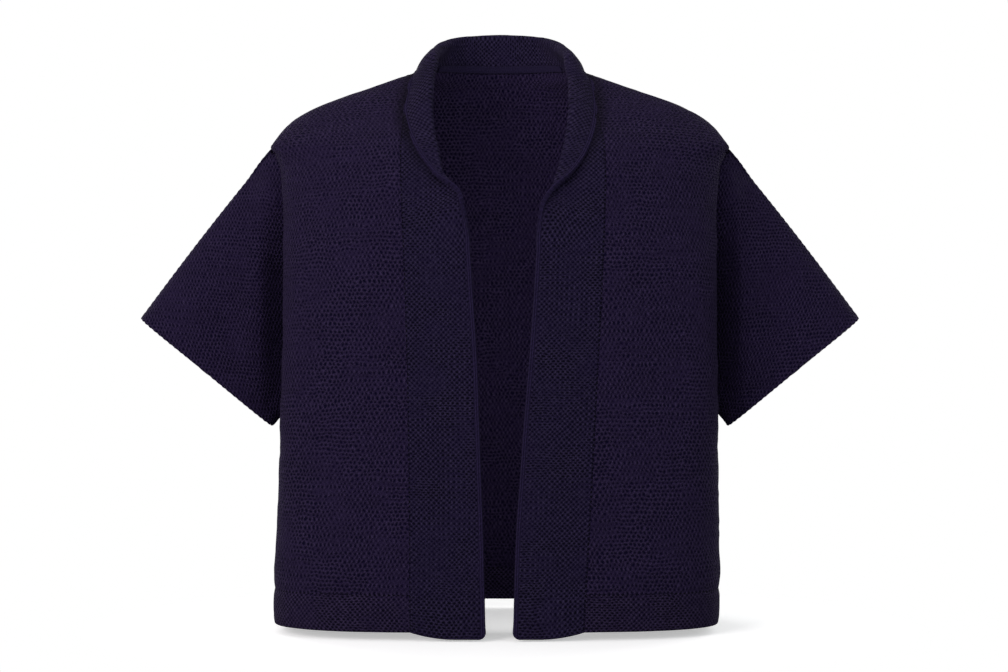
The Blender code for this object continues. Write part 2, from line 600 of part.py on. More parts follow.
def build_tape(left, right):
    """The neck tape, laid on the inside of the collar stand along the back neck seam."""
    halves = []
    for face, normals in (left[2:], right[2:]):
        low, high = face[:TAPE_COLUMNS + 1, :1], face[:TAPE_COLUMNS + 1, 1:2]
        reach = TAPE_START + TAPE_WIDTH * np.array([0, 0.5, 1])[None, :, None]
        share = reach / np.linalg.norm(high - low, axis=-1, keepdims=True)
        first, second = normals[:TAPE_COLUMNS + 1, :1], normals[:TAPE_COLUMNS + 1, 1:2]
        inward = -unit(first * (1 - share) + second * share)
        near = low + (high - low) * share + inward * TAPE_GAP
        halves.append((near, near + inward * TAPE_WALL))
    near, far = (np.concatenate([halves[0][item][::-1], halves[1][item][1:]]) for item in (0, 1))
    near[TAPE_COLUMNS, :, 0] = far[TAPE_COLUMNS, :, 0] = 0
    wall_object("neck_tape", far, near, False, FINE)


def main():
    for item in list(bpy.data.objects):
        bpy.data.objects.remove(item)
    left = build_side(-1)
    right = build_side(1)
    build_back(left, right)
    build_tape(left, right)


main()
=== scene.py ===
"""Open-front cardigan with a shawl collar: its finished knitted pieces and a plain studio stage.

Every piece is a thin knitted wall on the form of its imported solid, with the same named sizes and
tables. The origin is the wearer's neck base, +X is the viewer's right, -Y the front and +Z up.
Sizes are in metres.
"""

from functools import lru_cache

import bmesh
import bpy
import numpy as np
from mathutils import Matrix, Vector


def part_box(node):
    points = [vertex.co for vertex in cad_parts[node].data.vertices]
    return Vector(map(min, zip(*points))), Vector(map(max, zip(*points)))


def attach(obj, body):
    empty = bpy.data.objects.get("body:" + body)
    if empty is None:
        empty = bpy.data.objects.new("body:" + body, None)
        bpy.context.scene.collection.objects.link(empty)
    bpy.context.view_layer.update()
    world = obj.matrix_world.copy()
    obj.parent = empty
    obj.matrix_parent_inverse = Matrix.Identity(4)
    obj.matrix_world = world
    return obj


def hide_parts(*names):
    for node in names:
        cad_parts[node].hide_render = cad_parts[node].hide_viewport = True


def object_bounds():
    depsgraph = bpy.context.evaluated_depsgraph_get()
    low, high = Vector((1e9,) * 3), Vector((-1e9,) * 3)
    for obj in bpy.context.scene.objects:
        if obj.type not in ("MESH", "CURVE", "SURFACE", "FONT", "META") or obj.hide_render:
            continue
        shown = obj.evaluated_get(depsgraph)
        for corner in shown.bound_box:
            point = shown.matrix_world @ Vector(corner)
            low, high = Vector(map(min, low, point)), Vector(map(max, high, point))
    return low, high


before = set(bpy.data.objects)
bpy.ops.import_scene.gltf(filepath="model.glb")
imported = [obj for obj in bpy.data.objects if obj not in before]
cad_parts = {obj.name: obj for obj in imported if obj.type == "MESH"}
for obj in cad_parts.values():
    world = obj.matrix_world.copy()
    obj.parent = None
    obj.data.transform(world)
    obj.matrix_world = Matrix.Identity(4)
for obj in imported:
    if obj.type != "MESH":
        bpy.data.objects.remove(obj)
CAD_BOX = [list(corner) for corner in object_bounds()]

bl_info = {
    "name": "Shawl collar cardigan",
    "version": (1, 0, 0),
    "blender": (4, 5, 0),
    "location": "3D View > Sidebar > Cardigan",
    "description": "Builds an open-front knitted cardigan, filled out and hollow, on a plain stage",
    "category": "Add Mesh",
}

# Shoulder line, from the neck point to the top of the armhole
NECK_POINT_X = 0.0870
NECK_POINT_Z = 0.0069
SHOULDER_FOLD_X = 0.2382
SHOULDER_END_X = 0.2402
SHOULDER_END_Z = -0.0740
BACK_NECK_Z = 0.0150

# Levels of the hem bands, how far from its seam a band's end eases down, and its corner's radius
FRONT_HEM_LINE_Z = -0.5288
BACK_HEM_LINE_Z = -0.5310
SIDE_HEM_LINE_Z = -0.5340
FRONT_HEM_Z = -0.5668
BACK_HEM_Z = -0.5665
SIDE_HEM_Z = -0.5690
BAND_END_Z = -0.5738
BAND_EASE = 0.0450
BAND_CORNER = 0.0070

# Sleeve edge, seen from the front as a straight line from its tip down to its lowest corner
CUFF_TIP_X = 0.3787
CUFF_TIP_Z = -0.2520
CUFF_CORNER_X = 0.2400
CUFF_CORNER_Z = -0.3660
CUFF_CENTRE_Y = 0.0120
CUFF_HALF_DEPTH = 0.0340
CUFF_SQUARENESS = 2.5
CUFF_TAPER = 0.30
CUFF_ARCH = 0.0018

# How far the top of a sleeve arches outward between the shoulder and the tip
SLEEVE_ARCH = 0.0018

# Hollow of the sleeve beside the body: its reach from the armhole, how much that changes toward
# the top line, and the share of it that stays deep
SLEEVE_CREASE = 0.0440
SLEEVE_CAP = -0.0150
SLEEVE_HOLLOW = 0.25

# A point inside the body, from which every panel faces outward
BODY_CENTRE = (0.0, 0.0, -0.3000)

# Neck tape, measured across the collar stand from the neck seam, and along it from the centre back
TAPE_START = 0.0009
TAPE_WIDTH = 0.0078
TAPE_GAP = 0.0005
TAPE_REACH = 0.625

# Thickness that the tape has at its long edges and at its ends, as shares, and how soon it is full
TAPE_RIM = 0.45
TAPE_RIM_WIDTH = 0.0012
TAPE_END = 0.5
TAPE_END_WIDTH = 0.002

TAPE_SHARES = (0, 0.04, 0.12, 0.25, 0.4, 0.5, 0.6, 0.75, 0.88, 0.96, 1)

# How far down a panel its columns hang straight, at the neck and at the armhole, as shares
HANG_AT_NECK = 0.304
HANG_AT_ARMHOLE = 0.004

# The least angle that stays a sharp edge, the least cosine between a shared edge and a wall's own
# normal, and how far a piece may leave the form of its solid
SHARP_ANGLE = np.radians(50)
LEAST_MITRE = 0.62
MOST_ASTRAY = 0.004

# Sampling: rows down a panel to the underarm and on to the hem line, and columns across it. The rows
# crowd together toward the shoulder and in the last share above the hem line.
FOLD_SHARE = 0.70
UNDERARM_SHARE = 0.5522
HEM_LINE_SHARE = 0.012
SHOULDER_CROWDING = 1.5
HEM_LINE_CROWDING = 1.4
MAIN_WIDTH = 0.180
ARMHOLE_ROWS = 220
SIDE_ROWS = 132
HEM_LINE_ROWS = 12
ROW_STRIDE = 2
NECK_COLUMNS = 40
MAIN_COLUMNS = 40
TUCK_COLUMNS = 18
HEM_ROWS = 14
SLEEVE_ROWS = 104
NECKLINE = slice(0, NECK_COLUMNS + 1)
ARMHOLE_EDGE = slice(0, ARMHOLE_ROWS + 1, ROW_STRIDE)
STAND_COLUMNS = 9
ROLL_COLUMNS = 10
FALL_COLUMNS = 11

# Distances from a seam, from a free edge and round a knitted rim at which a surface gets its columns
SEAM_STEPS = (0, 0.0007, 0.0014, 0.0023, 0.0036)
EDGE_STEPS = (0.0068, 0.0060, 0.0053, 0.0047, 0.0041, 0.0035, 0.0029, 0.0023)
RIM_STEPS = (1.0, 0.72, 0.47, 0.27, 0.12, 0.03)
RIM_END = 0.16

# Free edge of a band or of the collar: two cords and the groove behind them, by distance from the
# edge. Each cord is a chain of stitches.
EDGE_CORDS = (
    ("from_edge", "width", "rise", "chained"),
    (0.0012, 0.0008, 0.00045, 0.25),
    (0.0034, 0.0008, 0.00042, 0.25),
    (0.0052, 0.0007, -0.00040, 0.0),
)
FIRST_CORD = EDGE_CORDS[1][0]
CORD_PITCH = EDGE_CORDS[2][0] - EDGE_CORDS[1][0]
CORDS_FADE = (0.0044, 0.0056)
CORDS_REACH = 0.006
CHAIN_STITCH = 0.0047

# Grooves along the joined edges: where stitches are picked up, at a seam, and at the armhole
LIGHT_GROOVE = 0.0003
SEAM_GROOVE = 0.0004
ARMHOLE_GROOVE = 0.0005
GROOVE_WIDTH = 0.0016

# Beads of a sleeve's bound-off edge, and of the line along its top, which begins past the armhole.
# The edge beads point the way that the last rows run.
EDGE_BEAD = 0.0072
EDGE_BEAD_RISE = 0.0006
EDGE_BEAD_WIDTH = 0.0022
LAST_ROWS = 12
TOP_BEAD = 0.0074
TOP_BEAD_RISE = 0.0005
TOP_BEAD_WIDTH = 0.006
TOP_BEAD_START = 0.020

# How a sleeve lies in the flat, so that its rows run on from the body's: start, turn and slope
SLEEVE_LAY_X = 0.23
SLEEVE_LAY_TURN = 0.35
SLEEVE_LAY_SLOPE = 0.07

# Horizontal sections of the body. The tuck draws the side in behind the fold of each panel.
RINGS = (
    ("height", "half_width", "front_depth", "back_depth", "front_square", "back_square",
     "front_fold_y", "back_fold_y", "tuck", "lean"),
    (0.0300, 0.0790, 0.0200, 0.0790, 2.0, 2.2, 0.000, 0.000, 0.000, 0.0000),
    (0.0173, 0.0825, 0.0230, 0.0830, 2.0, 2.2, 0.000, 0.000, 0.000, 0.0000),
    (0.0069, 0.0870, 0.0260, 0.0860, 2.0, 2.2, 0.000, 0.000, 0.000, 0.0000),
    (0.0000, 0.1055, 0.0290, 0.0885, 2.0, 2.2, 0.000, 0.000, 0.000, 0.0000),
    (-0.0127, 0.1418, 0.0355, 0.0925, 2.0, 2.2, 0.000, 0.000, 0.000, 0.0000),
    (-0.0232, 0.1722, 0.0430, 0.0960, 2.0, 2.2, 0.000, 0.000, 0.000, 0.0000),
    (-0.0337, 0.1974, 0.0515, 0.0990, 2.0, 2.2, 0.000, 0.000, 0.000, 0.0000),
    (-0.0442, 0.2153, 0.0605, 0.1020, 2.0, 2.2, 0.000, 0.000, 0.000, 0.0000),
    (-0.0547, 0.2268, 0.0700, 0.1050, 2.0, 2.2, 0.000, 0.000, 0.000, 0.0000),
    (-0.0652, 0.2342, 0.0785, 0.1075, 2.1, 2.3, 0.000, 0.000, 0.000, 0.0000),
    (-0.0740, 0.2402, 0.0850, 0.1095, 2.1, 2.3, 0.000, 0.000, 0.000, 0.0000),
    (-0.0790, 0.2368, 0.0885, 0.1105, 2.2, 2.4, -0.006, 0.006, 0.0002, 0.0000),
    (-0.0860, 0.2320, 0.0925, 0.1120, 2.2, 2.4, -0.012, 0.012, 0.0010, 0.0000),
    (-0.0970, 0.2278, 0.0970, 0.1135, 2.3, 2.5, -0.019, 0.020, 0.0030, 0.0000),
    (-0.1150, 0.2255, 0.1020, 0.1155, 2.4, 2.6, -0.027, 0.031, 0.0080, 0.0000),
    (-0.1500, 0.2242, 0.1055, 0.1180, 2.6, 2.7, -0.034, 0.052, 0.0140, 0.0000),
    (-0.2000, 0.2237, 0.1070, 0.1205, 2.8, 2.8, -0.036, 0.067, 0.0170, 0.0000),
    (-0.3000, 0.2239, 0.1070, 0.1245, 3.0, 3.0, -0.036, 0.070, 0.0175, -0.0002),
    (-0.3400, 0.2239, 0.1068, 0.1270, 3.0, 3.0, -0.033, 0.060, 0.0140, -0.0006),
    (-0.3800, 0.2248, 0.1065, 0.1300, 3.0, 3.0, -0.028, 0.045, 0.0080, -0.0010),
    (-0.4300, 0.2266, 0.1060, 0.1340, 3.0, 3.0, -0.022, 0.026, 0.0030, -0.0015),
    (-0.4740, 0.2286, 0.1055, 0.1380, 3.0, 3.0, -0.016, 0.012, 0.0000, -0.0021),
    (-0.5340, 0.2303, 0.1055, 0.1425, 3.0, 3.0, -0.010, 0.004, 0.0000, -0.0033),
    (-0.5580, 0.2306, 0.1050, 0.1445, 3.0, 3.0, -0.008, 0.002, 0.0000, -0.0036),
    (-0.5740, 0.2282, 0.1035, 0.1440, 3.0, 3.0, -0.008, 0.002, 0.0000, -0.0034),
)

# How closely the folds keep to the sides: near the shoulder they leave the middle of a panel alone
FOLD_REACH = (
    ("height", "power"),
    (-0.0740, 3.0),
    (-0.0970, 2.5),
    (-0.1150, 2.2),
    (-0.1500, 1.6),
    (-0.2000, 1.0),
)

# Armhole seam: how far each panel reaches round the side, as a share of the way to the side seam
ARMHOLE = (
    ("height", "front_share", "back_share"),
    (-0.0740, 0.30, 0.30),
    (-0.0790, 0.19, 0.19),
    (-0.0860, 0.12, 0.12),
    (-0.0970, 0.20, 0.16),
    (-0.1150, 0.39, 0.24),
    (-0.1500, 0.62, 0.32),
    (-0.2000, 0.76, 0.40),
    (-0.2500, 0.83, 0.46),
    (-0.2900, 0.88, 0.58),
    (-0.3150, 0.94, 0.76),
    (-0.3280, 1.00, 1.00),
)

# Seam between each front and its band, and the free edge of each band, as distances from the middle
BAND_SEAM = (
    ("height", "left", "right"),
    (0.0069, 0.0870, 0.0870),
    (-0.0166, 0.0930, 0.0940),
    (-0.0397, 0.0977, 0.0995),
    (-0.0622, 0.0997, 0.1035),
    (-0.0838, 0.1005, 0.1062),
    (-0.1099, 0.0998, 0.1066),
    (-0.1354, 0.0985, 0.1059),
    (-0.3347, 0.0913, 0.0970),
    (-0.5740, 0.0860, 0.0876),
)
BAND_EDGE = (
    ("height", "left", "right"),
    (-0.1200, 0.0370, 0.0440),
    (-0.1404, 0.0345, 0.0410),
    (-0.1755, 0.0300, 0.0370),
    (-0.2352, 0.0260, 0.0333),
    (-0.2949, 0.0222, 0.0290),
    (-0.3546, 0.0200, 0.0240),
    (-0.4143, 0.0180, 0.0198),
    (-0.4739, 0.0160, 0.0158),
    (-0.5336, 0.0148, 0.0140),
    (-0.5740, 0.0140, 0.0130),
)

# Collar, by distance along the neck seam from the centre back: where the stand ends, on each side,
# then the roll's radius and turn and the width of the fall beyond it
COLLAR = (
    ("girth", "left", "right", "depth_y", "height", "roll_radius", "roll_turn", "fall_left", "fall_right"),
    (0.000, 0.0000, 0.0000, 0.0805, 0.0520, 0.0045, 168.0, 0.0360, 0.0360),
    (0.045, 0.0385, 0.0385, 0.0735, 0.0490, 0.0045, 168.0, 0.0345, 0.0345),
    (0.080, 0.0555, 0.0555, 0.0530, 0.0395, 0.0045, 178.0, 0.0325, 0.0325),
    (0.105, 0.0635, 0.0640, 0.0290, 0.0288, 0.0045, 181.0, 0.0310, 0.0310),
    (0.133, 0.0680, 0.0695, 0.0035, 0.0190, 0.0045, 186.0, 0.0285, 0.0285),
    (0.150, 0.0710, 0.0725, -0.0100, 0.0050, 0.0045, 188.0, 0.0265, 0.0280),
    (0.170, 0.0732, 0.0752, -0.0210, -0.0080, 0.0043, 188.0, 0.0275, 0.0284),
    (0.200, 0.0739, 0.0759, -0.0430, -0.0345, 0.0040, 186.0, 0.0267, 0.0258),
    (0.230, 0.0716, 0.0734, -0.0620, -0.0610, 0.0036, 183.0, 0.0234, 0.0242),
    (0.256, 0.0665, 0.0688, -0.0770, -0.0850, 0.0034, 176.0, 0.0185, 0.0213),
    (0.284, 0.0604, 0.0622, -0.0890, -0.1070, 0.0034, 160.0, 0.0080, 0.0133),
    (0.310, 0.0448, 0.0539, -0.0975, -0.1270, 0.0038, 120.0, 0.0030, 0.0040),
    (0.335, 0.0400, 0.0455, -0.1030, -0.1440, 0.0040, 60.0, 0.0005, 0.0010),
    (0.360, 0.0360, 0.0420, -0.1040, -0.1650, 0.0040, 0.0, 0.0000, 0.0000),
)

# Where the collar's shape ends and the flat band begins, and the least fall that is still rolled.
# The stops are the shares of a flat strip at which the columns of stand, roll and fall begin.
COLLAR_END = 0.325
BAND_START = 0.360
FLAT_STOPS = (0.00, 0.48, 0.84, 1.00)
LEAST_ROLLED_FALL = 0.004

# How far the fall's free edge stands off, across which width, and how soon that fades at the collar's
# end. Then how far and how deeply a painted shadow darkens the yarn's colour beneath that edge. A point
# of the strip itself gets the painted shadow only where the way along the cloth to that edge is longer.
FALL_LIFT = 0.0060
FALL_LIFT_WIDTH = 0.012
FALL_LIFT_FADE = 0.05
FALL_SHADOW_REACH = 0.0085
PAINTED_SHADOW_DEPTH = 0.74
FALL_SHADOW_DETOUR = 1.8
FALL_SHADOW_CLEAR = 0.004
FALL_SHADOW_FADE = 0.006

# Soft troughs (below 0) and ridges, drawn by their ends on the front (face -1) or the back (face 1).
# Each fades over a share of its length toward its ends, where a part of its rise is left.
CREASE_FADE = 0.35
CREASE_LEFT = 0.25
CREASES = (
    ("face", "from_x", "from_z", "to_x", "to_z", "width", "rise"),
    (-1, -0.2480, -0.150, -0.2620, -0.335, 0.0120, 0.0022),
    (-1, -0.2900, -0.215, -0.2720, -0.320, 0.0120, -0.0016),
    (-1, -0.3300, -0.262, -0.3020, -0.312, 0.0140, 0.0013),
    (-1, 0.2540, -0.140, 0.2600, -0.345, 0.0120, 0.0022),
    (-1, 0.2800, -0.170, 0.2860, -0.300, 0.0140, -0.0022),
    (-1, 0.3250, -0.235, 0.3120, -0.300, 0.0150, 0.0013),
    (1, -0.2600, -0.160, -0.2680, -0.340, 0.0130, 0.0020),
    (1, -0.2950, -0.210, -0.2860, -0.310, 0.0130, -0.0016),
    (1, 0.2620, -0.150, 0.2700, -0.335, 0.0130, 0.0020),
    (1, 0.3050, -0.220, 0.2920, -0.305, 0.0140, -0.0015),
    (-1, -0.1370, -0.130, -0.1300, -0.300, 0.0260, 0.0022),
    (-1, -0.1850, -0.240, -0.1700, -0.450, 0.0240, -0.0012),
    (-1, -0.1150, -0.380, -0.1200, -0.500, 0.0200, -0.0010),
    (-1, 0.1250, -0.120, 0.1300, -0.270, 0.0260, 0.0020),
    (-1, 0.1750, -0.220, 0.1620, -0.430, 0.0240, -0.0013),
    (-1, 0.1120, -0.400, 0.1150, -0.510, 0.0200, -0.0010),
    (1, -0.1350, -0.100, -0.1200, -0.330, 0.0300, 0.0025),
    (1, -0.0450, -0.060, -0.0550, -0.300, 0.0320, -0.0018),
    (1, 0.0650, -0.080, 0.0500, -0.360, 0.0300, -0.0016),
    (1, 0.1500, -0.110, 0.1350, -0.340, 0.0300, 0.0025),
    (1, -0.0900, -0.380, -0.1000, -0.540, 0.0260, 0.0020),
    (1, 0.0150, -0.360, 0.0050, -0.530, 0.0260, 0.0016),
    (1, 0.1050, -0.400, 0.1150, -0.545, 0.0240, -0.0016),
)

# Patches of the moss stitch that show more of the crossed stitches, of the rows or of the columns
STITCH_PATCHES = (
    ("from_noise", "to_noise", "least", "most"),
    (0.36, 0.60, 0.62, 0.95),
    (0.36, 0.66, 0.05, 0.46),
    (0.40, 0.70, 0.00, 0.26),
)

# Where pits begin in tight and in loose knitting, in the same columns, and where they are deepest.
# The raised stitches begin a gap below that, and are highest at an end of their own.
PIT_START = (0.3, 0.7, -0.12, 0.30)
PIT_END = 0.95
CREST_GAP = 0.1
CREST_END = -0.75

# Relief of one stitch: its crest, its pit, and the plies, with their turns in a stitch and in a row
CREST_RISE = 0.60
PIT_DROP = 0.45
PLY_RISE = 0.05
PLY_TURNS = (3.0, 1.5)

# Noise scales of the moss stitch, in turns per metre, and of the wool, which is drawn out along a row
STITCH_DRIFT = 46.0
STITCH_SLIP = 190.0
SLIP_SHARE = 0.4
STITCH_PATCH = 24.0
STITCH_TENSION = 150.0
YARN_LENGTHS = 60.0
YARN_DRAWN_OUT = (0.35, 1.0, 1.0)
FIBRE_FINENESS = 900.0
CORD_SLANT = 900.0

# Relief of the corded edges and their painted highlight and shade, how strongly fibres and lengths of
# yarn change the tone, and how strongly pits and raised stitches paint shade and highlight into it,
# around a mean painted shade
CORD_RISE = 0.30
CHAIN_RISE = 0.12
CORD_PAINTED_LIGHT = 1.4
CORD_PAINTED_LIFT = 0.35
FIBRE_TONE = 2.2
YARN_TONE = 0.35
PAINTED_PIT_CONTRAST = 0.72
MEAN_PIT_SHADE = 0.5

# Uneven tension of the knitting: a fine relief, then two slow bends of the whole cloth. It is read
# from a grid of seeded values, with its own seed for each piece.
TENSION = (
    ("wide", "tall", "strength"),
    (0.0085, 0.0070, 0.28),
    (0.065, 0.021, 0.85),
    (0.110, 0.090, 1.4),
)
NOISE_CELLS = (97, 89)
FRONT_SEED = 11
BACK_SEED = 17
SLEEVE_SEED = 23
STRIP_SEED = 31

# Shares of that unevenness that bend a sleeve, and that raise and bend a collar strip
SLEEVE_BEND = 0.8
STRIP_RELIEF = 0.7
STRIP_BEND = 0.35

# Distances from the edges over which it comes in: the relief, the relief beside a sleeve's top line,
# and the bends at a sleeve's edge, at a seam, on a collar strip and on a panel
RELIEF_START = 0.008
TOP_LINE_CLEAR = 0.010
EDGE_SETTLE = 0.004
SEAM_SETTLE = 0.015
STRIP_SETTLE = 0.020
PANEL_SETTLE = 0.030

# How soon a crease is left behind where a sleeve turns from one face to the other
CREASE_TURN = 1.6

# Holes of a picked-up row: their number, their fade to either side of it and along it, and their
# painted shade and depth
HOLES_PER_METRE = 212.0
HOLE_BESIDE = (0.0016, 0.0004)
HOLE_ALONG = (-0.2, 0.8)
HOLE_PAINTED_SHADE = 0.5
HOLE_DROP = 0.6

# The darkest that the yarn's colour gets under its painted pit shade, and how the wool catches light
DARKEST_YARN = (0.0004, 0.0003, 0.0010)
FIBRE_HEIGHT = 0.22
WOOL_SPECULAR = 0.06
SHEEN_ROUGHNESS = 0.6
SHEEN_TINT = (0.62, 0.48, 0.90, 1.0)

# Soft lights: place, width and height, the stage's own name for the power, and the tint. All but the
# one inside the garment face its middle. That one faces the inner side of the back.
LIGHTS = (
    ("name", "x", "y", "z", "width", "height", "power", "red", "green", "blue"),
    ("key", -1.7, -1.9, 0.55, 1.4, 1.4, "key_power", 1.0, 0.95, 0.96),
    ("side", 1.9, -1.6, 0.45, 1.4, 1.4, "side_power", 0.88, 0.96, 1.0),
    ("front", -0.25, -3.2, 0.10, 1.5, 1.5, "front_power", 0.93, 0.98, 1.0),
    ("overhead", -0.2, 0.1, 2.1, 2.0, 2.0, "top_power", 1.0, 1.0, 1.0),
    ("back_left", -1.5, 2.0, 0.60, 1.6, 1.6, "back_power", 1.0, 1.0, 1.0),
    ("back_right", 1.7, 1.8, 0.45, 1.6, 1.6, "back_power", 1.0, 1.0, 1.0),
    ("inside", 0.004, -0.050, -0.275, 0.10, 0.50, "inside_power", 1.0, 1.0, 1.0),
)

# Camera, level and in front of the garment's middle, and the floor's radius and fade to white
CAMERA_PLACE = (0.0042, -2.0, -0.271)
CAMERA_LENS = 68.04
CAMERA_SENSOR = 36.0
FLOOR_RADIUS = 9.0
FLOOR_SQUEEZE = 0.72
FLOOR_FADE = (0.18, 0.32)


def smooth_step(share):
    share = np.clip(share, 0, 1)
    return share * share * (3 - 2 * share)


def unit(vectors):
    return vectors / np.maximum(np.linalg.norm(vectors, axis=-1, keepdims=True), 1e-12)


def look_up(table, name, at):
    """A column of a table at given values of its first column, along a curve that never overshoots."""
    rows = np.array(table[1:], float)
    rows = rows[np.argsort(rows[:, 0])]
    keys, values = rows[:, 0], rows[:, table[0].index(name)]
    steps, rises = np.diff(keys), np.diff(values)
    slopes = rises / steps
    before, after = slopes[:-1], slopes[1:]
    same_way = before * after > 0
    mean = np.where(same_way, 2 * before * after / np.where(same_way, before + after, 1), 0)
    tangents = np.concatenate([slopes[:1], mean, slopes[-1:]])
    at = np.clip(at, keys[0], keys[-1])
    index = np.clip(np.searchsorted(keys, at) - 1, 0, len(steps) - 1)
    step = steps[index]
    share = (at - keys[index]) / step
    rest = 1 - share
    start = values[index] * (1 + 2 * share) * rest ** 2 + tangents[index] * step * share * rest ** 2
    end = values[index + 1] * (3 - 2 * share) * share ** 2 - tangents[index + 1] * step * rest * share ** 2
    return start + end


def ring_points(face, turn, height):
    """Points of the body on the +X side. The turn runs 0 at the middle, 1 at the fold, 2 at the side."""
    names = ("front_depth", "front_square") if face < 0 else ("back_depth", "back_square")
    half_width = look_up(RINGS, "half_width", height)
    depth, square = (look_up(RINGS, name, height) for name in names)
    folds = look_up(RINGS, "front_fold_y", height), look_up(RINGS, "back_fold_y", height)
    fold = folds[0] if face < 0 else folds[1]
    main = np.clip(turn, 0, 1) * np.pi / 2
    past = np.clip(turn - 1, 0, 1)
    x = half_width * np.sin(main) ** (2 / square) - look_up(RINGS, "tuck", height) * smooth_step(past)
    across = np.where(turn >= 1, 0, np.cos(main)) ** (2 / square)
    y = face * depth * across + fold * (1 - across) ** look_up(FOLD_REACH, "power", height)
    y = y + (sum(folds) / 2 - fold) * past
    return np.stack([x, y, height + 0 * x], axis=-1)


def turn_of(face, x, height):
    """The turn at which a ring reaches a distance x from the middle."""
    square = look_up(RINGS, "front_square" if face < 0 else "back_square", height)
    share = np.clip(x / look_up(RINGS, "half_width", height), 0, 1)
    return np.arcsin(share ** (square / 2)) * 2 / np.pi


def shoulder_height(x):
    """Height of the shoulder line at a distance x from the middle."""
    rings = np.array(RINGS[1:], float)
    ridge = rings[(rings[:, 0] <= NECK_POINT_Z) & (rings[:, 0] >= SHOULDER_END_Z)]
    table = (("x", "height"),) + tuple((row[1], row[0]) for row in ridge)
    return look_up(table, "height", x)


def top_edge(across):
    """Distance from the middle and height of a panel's top edge: neckline, then shoulder line."""
    toward_fold = np.sin(np.clip(across / FOLD_SHARE, 0, 1) * np.pi / 2)
    out_to_fold = NECK_POINT_X + (SHOULDER_FOLD_X - NECK_POINT_X) * toward_fold
    past_fold = (across - FOLD_SHARE) / (1 - FOLD_SHARE)
    to_end = SHOULDER_FOLD_X + (SHOULDER_END_X - SHOULDER_FOLD_X) * past_fold
    x = np.where(across < FOLD_SHARE, out_to_fold, to_end)
    neckline = BACK_NECK_Z - (BACK_NECK_Z - NECK_POINT_Z) * (1 + np.minimum(across, 0)) ** 3
    return x, np.where(across < 0, neckline, shoulder_height(x))


def panel_points(face, side, across, down):
    """Outer points of a front (face -1) or of half the back (face 1), on one side of the middle."""
    across, down = np.meshgrid(across, down)
    top_z = top_edge(across)[1]
    middle_line = FRONT_HEM_LINE_Z if face < 0 else BACK_HEM_LINE_Z
    reach = np.clip(across, 0, 1)
    bottom_z = middle_line + (SIDE_HEM_LINE_Z - middle_line) * reach ** 2
    height = top_z + (bottom_z - top_z) * down
    return placed(side, ring_points(face, panel_turn(face, side, across, down, height), height))


def panel_turn(face, side, across, down, height):
    """Near the shoulder the columns hang straight down, and lower they share out the ring."""
    top_x = top_edge(across)[0]
    toward_fold = np.clip(across / FOLD_SHARE, 0, 1)
    if face < 0:
        seam_x = look_up(BAND_SEAM, "left" if side < 0 else "right", height)
        hanging_x = top_x + (seam_x - NECK_POINT_X) * (1 - toward_fold)
        first_turn = turn_of(face, seam_x, height)
    else:
        hanging_x = top_x
        first_turn = turn_of(face, NECK_POINT_X, height) * (1 + np.minimum(across, 0))
    share = look_up(ARMHOLE, "front_share" if face < 0 else "back_share", height)
    past_fold = np.clip((across - FOLD_SHARE) / (1 - FOLD_SHARE), 0, 1)
    shared_out = first_turn + (1 - first_turn) * toward_fold + share * past_fold
    hanging = np.where(down > 0, turn_of(face, hanging_x, height), 1)
    hanging = np.where(across < 0, first_turn, hanging)
    toward_neck = 1 - np.clip(across, 0, 1)
    weight = smooth_step(down / (HANG_AT_ARMHOLE + (HANG_AT_NECK - HANG_AT_ARMHOLE) * toward_neck))
    return hanging + (shared_out - hanging) * weight


def hem_points(face, side, across, down):
    """Outer points of a hem band, from the hem line at 0 to the hem at 1."""
    across, down = np.meshgrid(across, down)
    reach = np.clip(across, 0, 1) ** 2
    ends = (FRONT_HEM_LINE_Z, FRONT_HEM_Z) if face < 0 else (BACK_HEM_LINE_Z, BACK_HEM_Z)
    top = ends[0] + (SIDE_HEM_LINE_Z - ends[0]) * reach
    bottom = ends[1] + (SIDE_HEM_Z - ends[1]) * reach
    height = top + (bottom - top) * down
    return placed(side, ring_points(face, panel_turn(face, side, across, 1 + 0 * down, height), height))


def placed(side, points):
    """Turns points of the +X side into those of either side, leaning as the garment hangs."""
    points = points.copy()
    points[..., 0] = side * points[..., 0] + look_up(RINGS, "lean", points[..., 2])
    return points


def sheet_normals(points, closed=False):
    """Unit normals of a grid of points, the way that a front's columns and rows make them."""
    if closed:
        around = np.roll(points, -1, axis=1) - np.roll(points, 1, axis=1)
    else:
        around = np.gradient(points, axis=1)
    return unit(np.cross(around, np.gradient(points, axis=0)))


def facing_out(points, normals):
    """Unit normals turned away from the middle of the body, also where cells fold at the shoulder."""
    outward = np.sum(normals * (points - BODY_CENTRE), axis=-1, keepdims=True)
    return normals * np.where(outward < 0, -1, 1)


def lengths_along(points, axis):
    """Distance along each row (axis 1) or column (axis 0) of a grid, from its first point."""
    steps = np.linalg.norm(np.diff(points, axis=axis), axis=-1)
    start = np.zeros_like(steps[:1] if axis == 0 else steps[:, :1])
    return np.concatenate([start, np.cumsum(steps, axis=axis)], axis=axis)


def cuff_points(face, side, share):
    """Points of the sleeve's edge. The share runs from the tip at 0 to the lowest corner at 1."""
    angle = np.pi * share
    bulge = 2 / CUFF_SQUARENESS
    cosine = np.sign(np.cos(angle)) * np.abs(np.cos(angle)) ** bulge
    along = (1 - cosine) / 2
    depth = CUFF_HALF_DEPTH * np.sin(np.clip(angle, 0, np.pi)) ** bulge * (1 - CUFF_TAPER * share)
    x = CUFF_TIP_X + (CUFF_CORNER_X - CUFF_TIP_X) * along
    z = CUFF_TIP_Z + (CUFF_CORNER_Z - CUFF_TIP_Z) * along + CUFF_ARCH * np.sin(np.pi * along)
    return np.stack([side * x, CUFF_CENTRE_Y + face * depth, z], axis=-1)


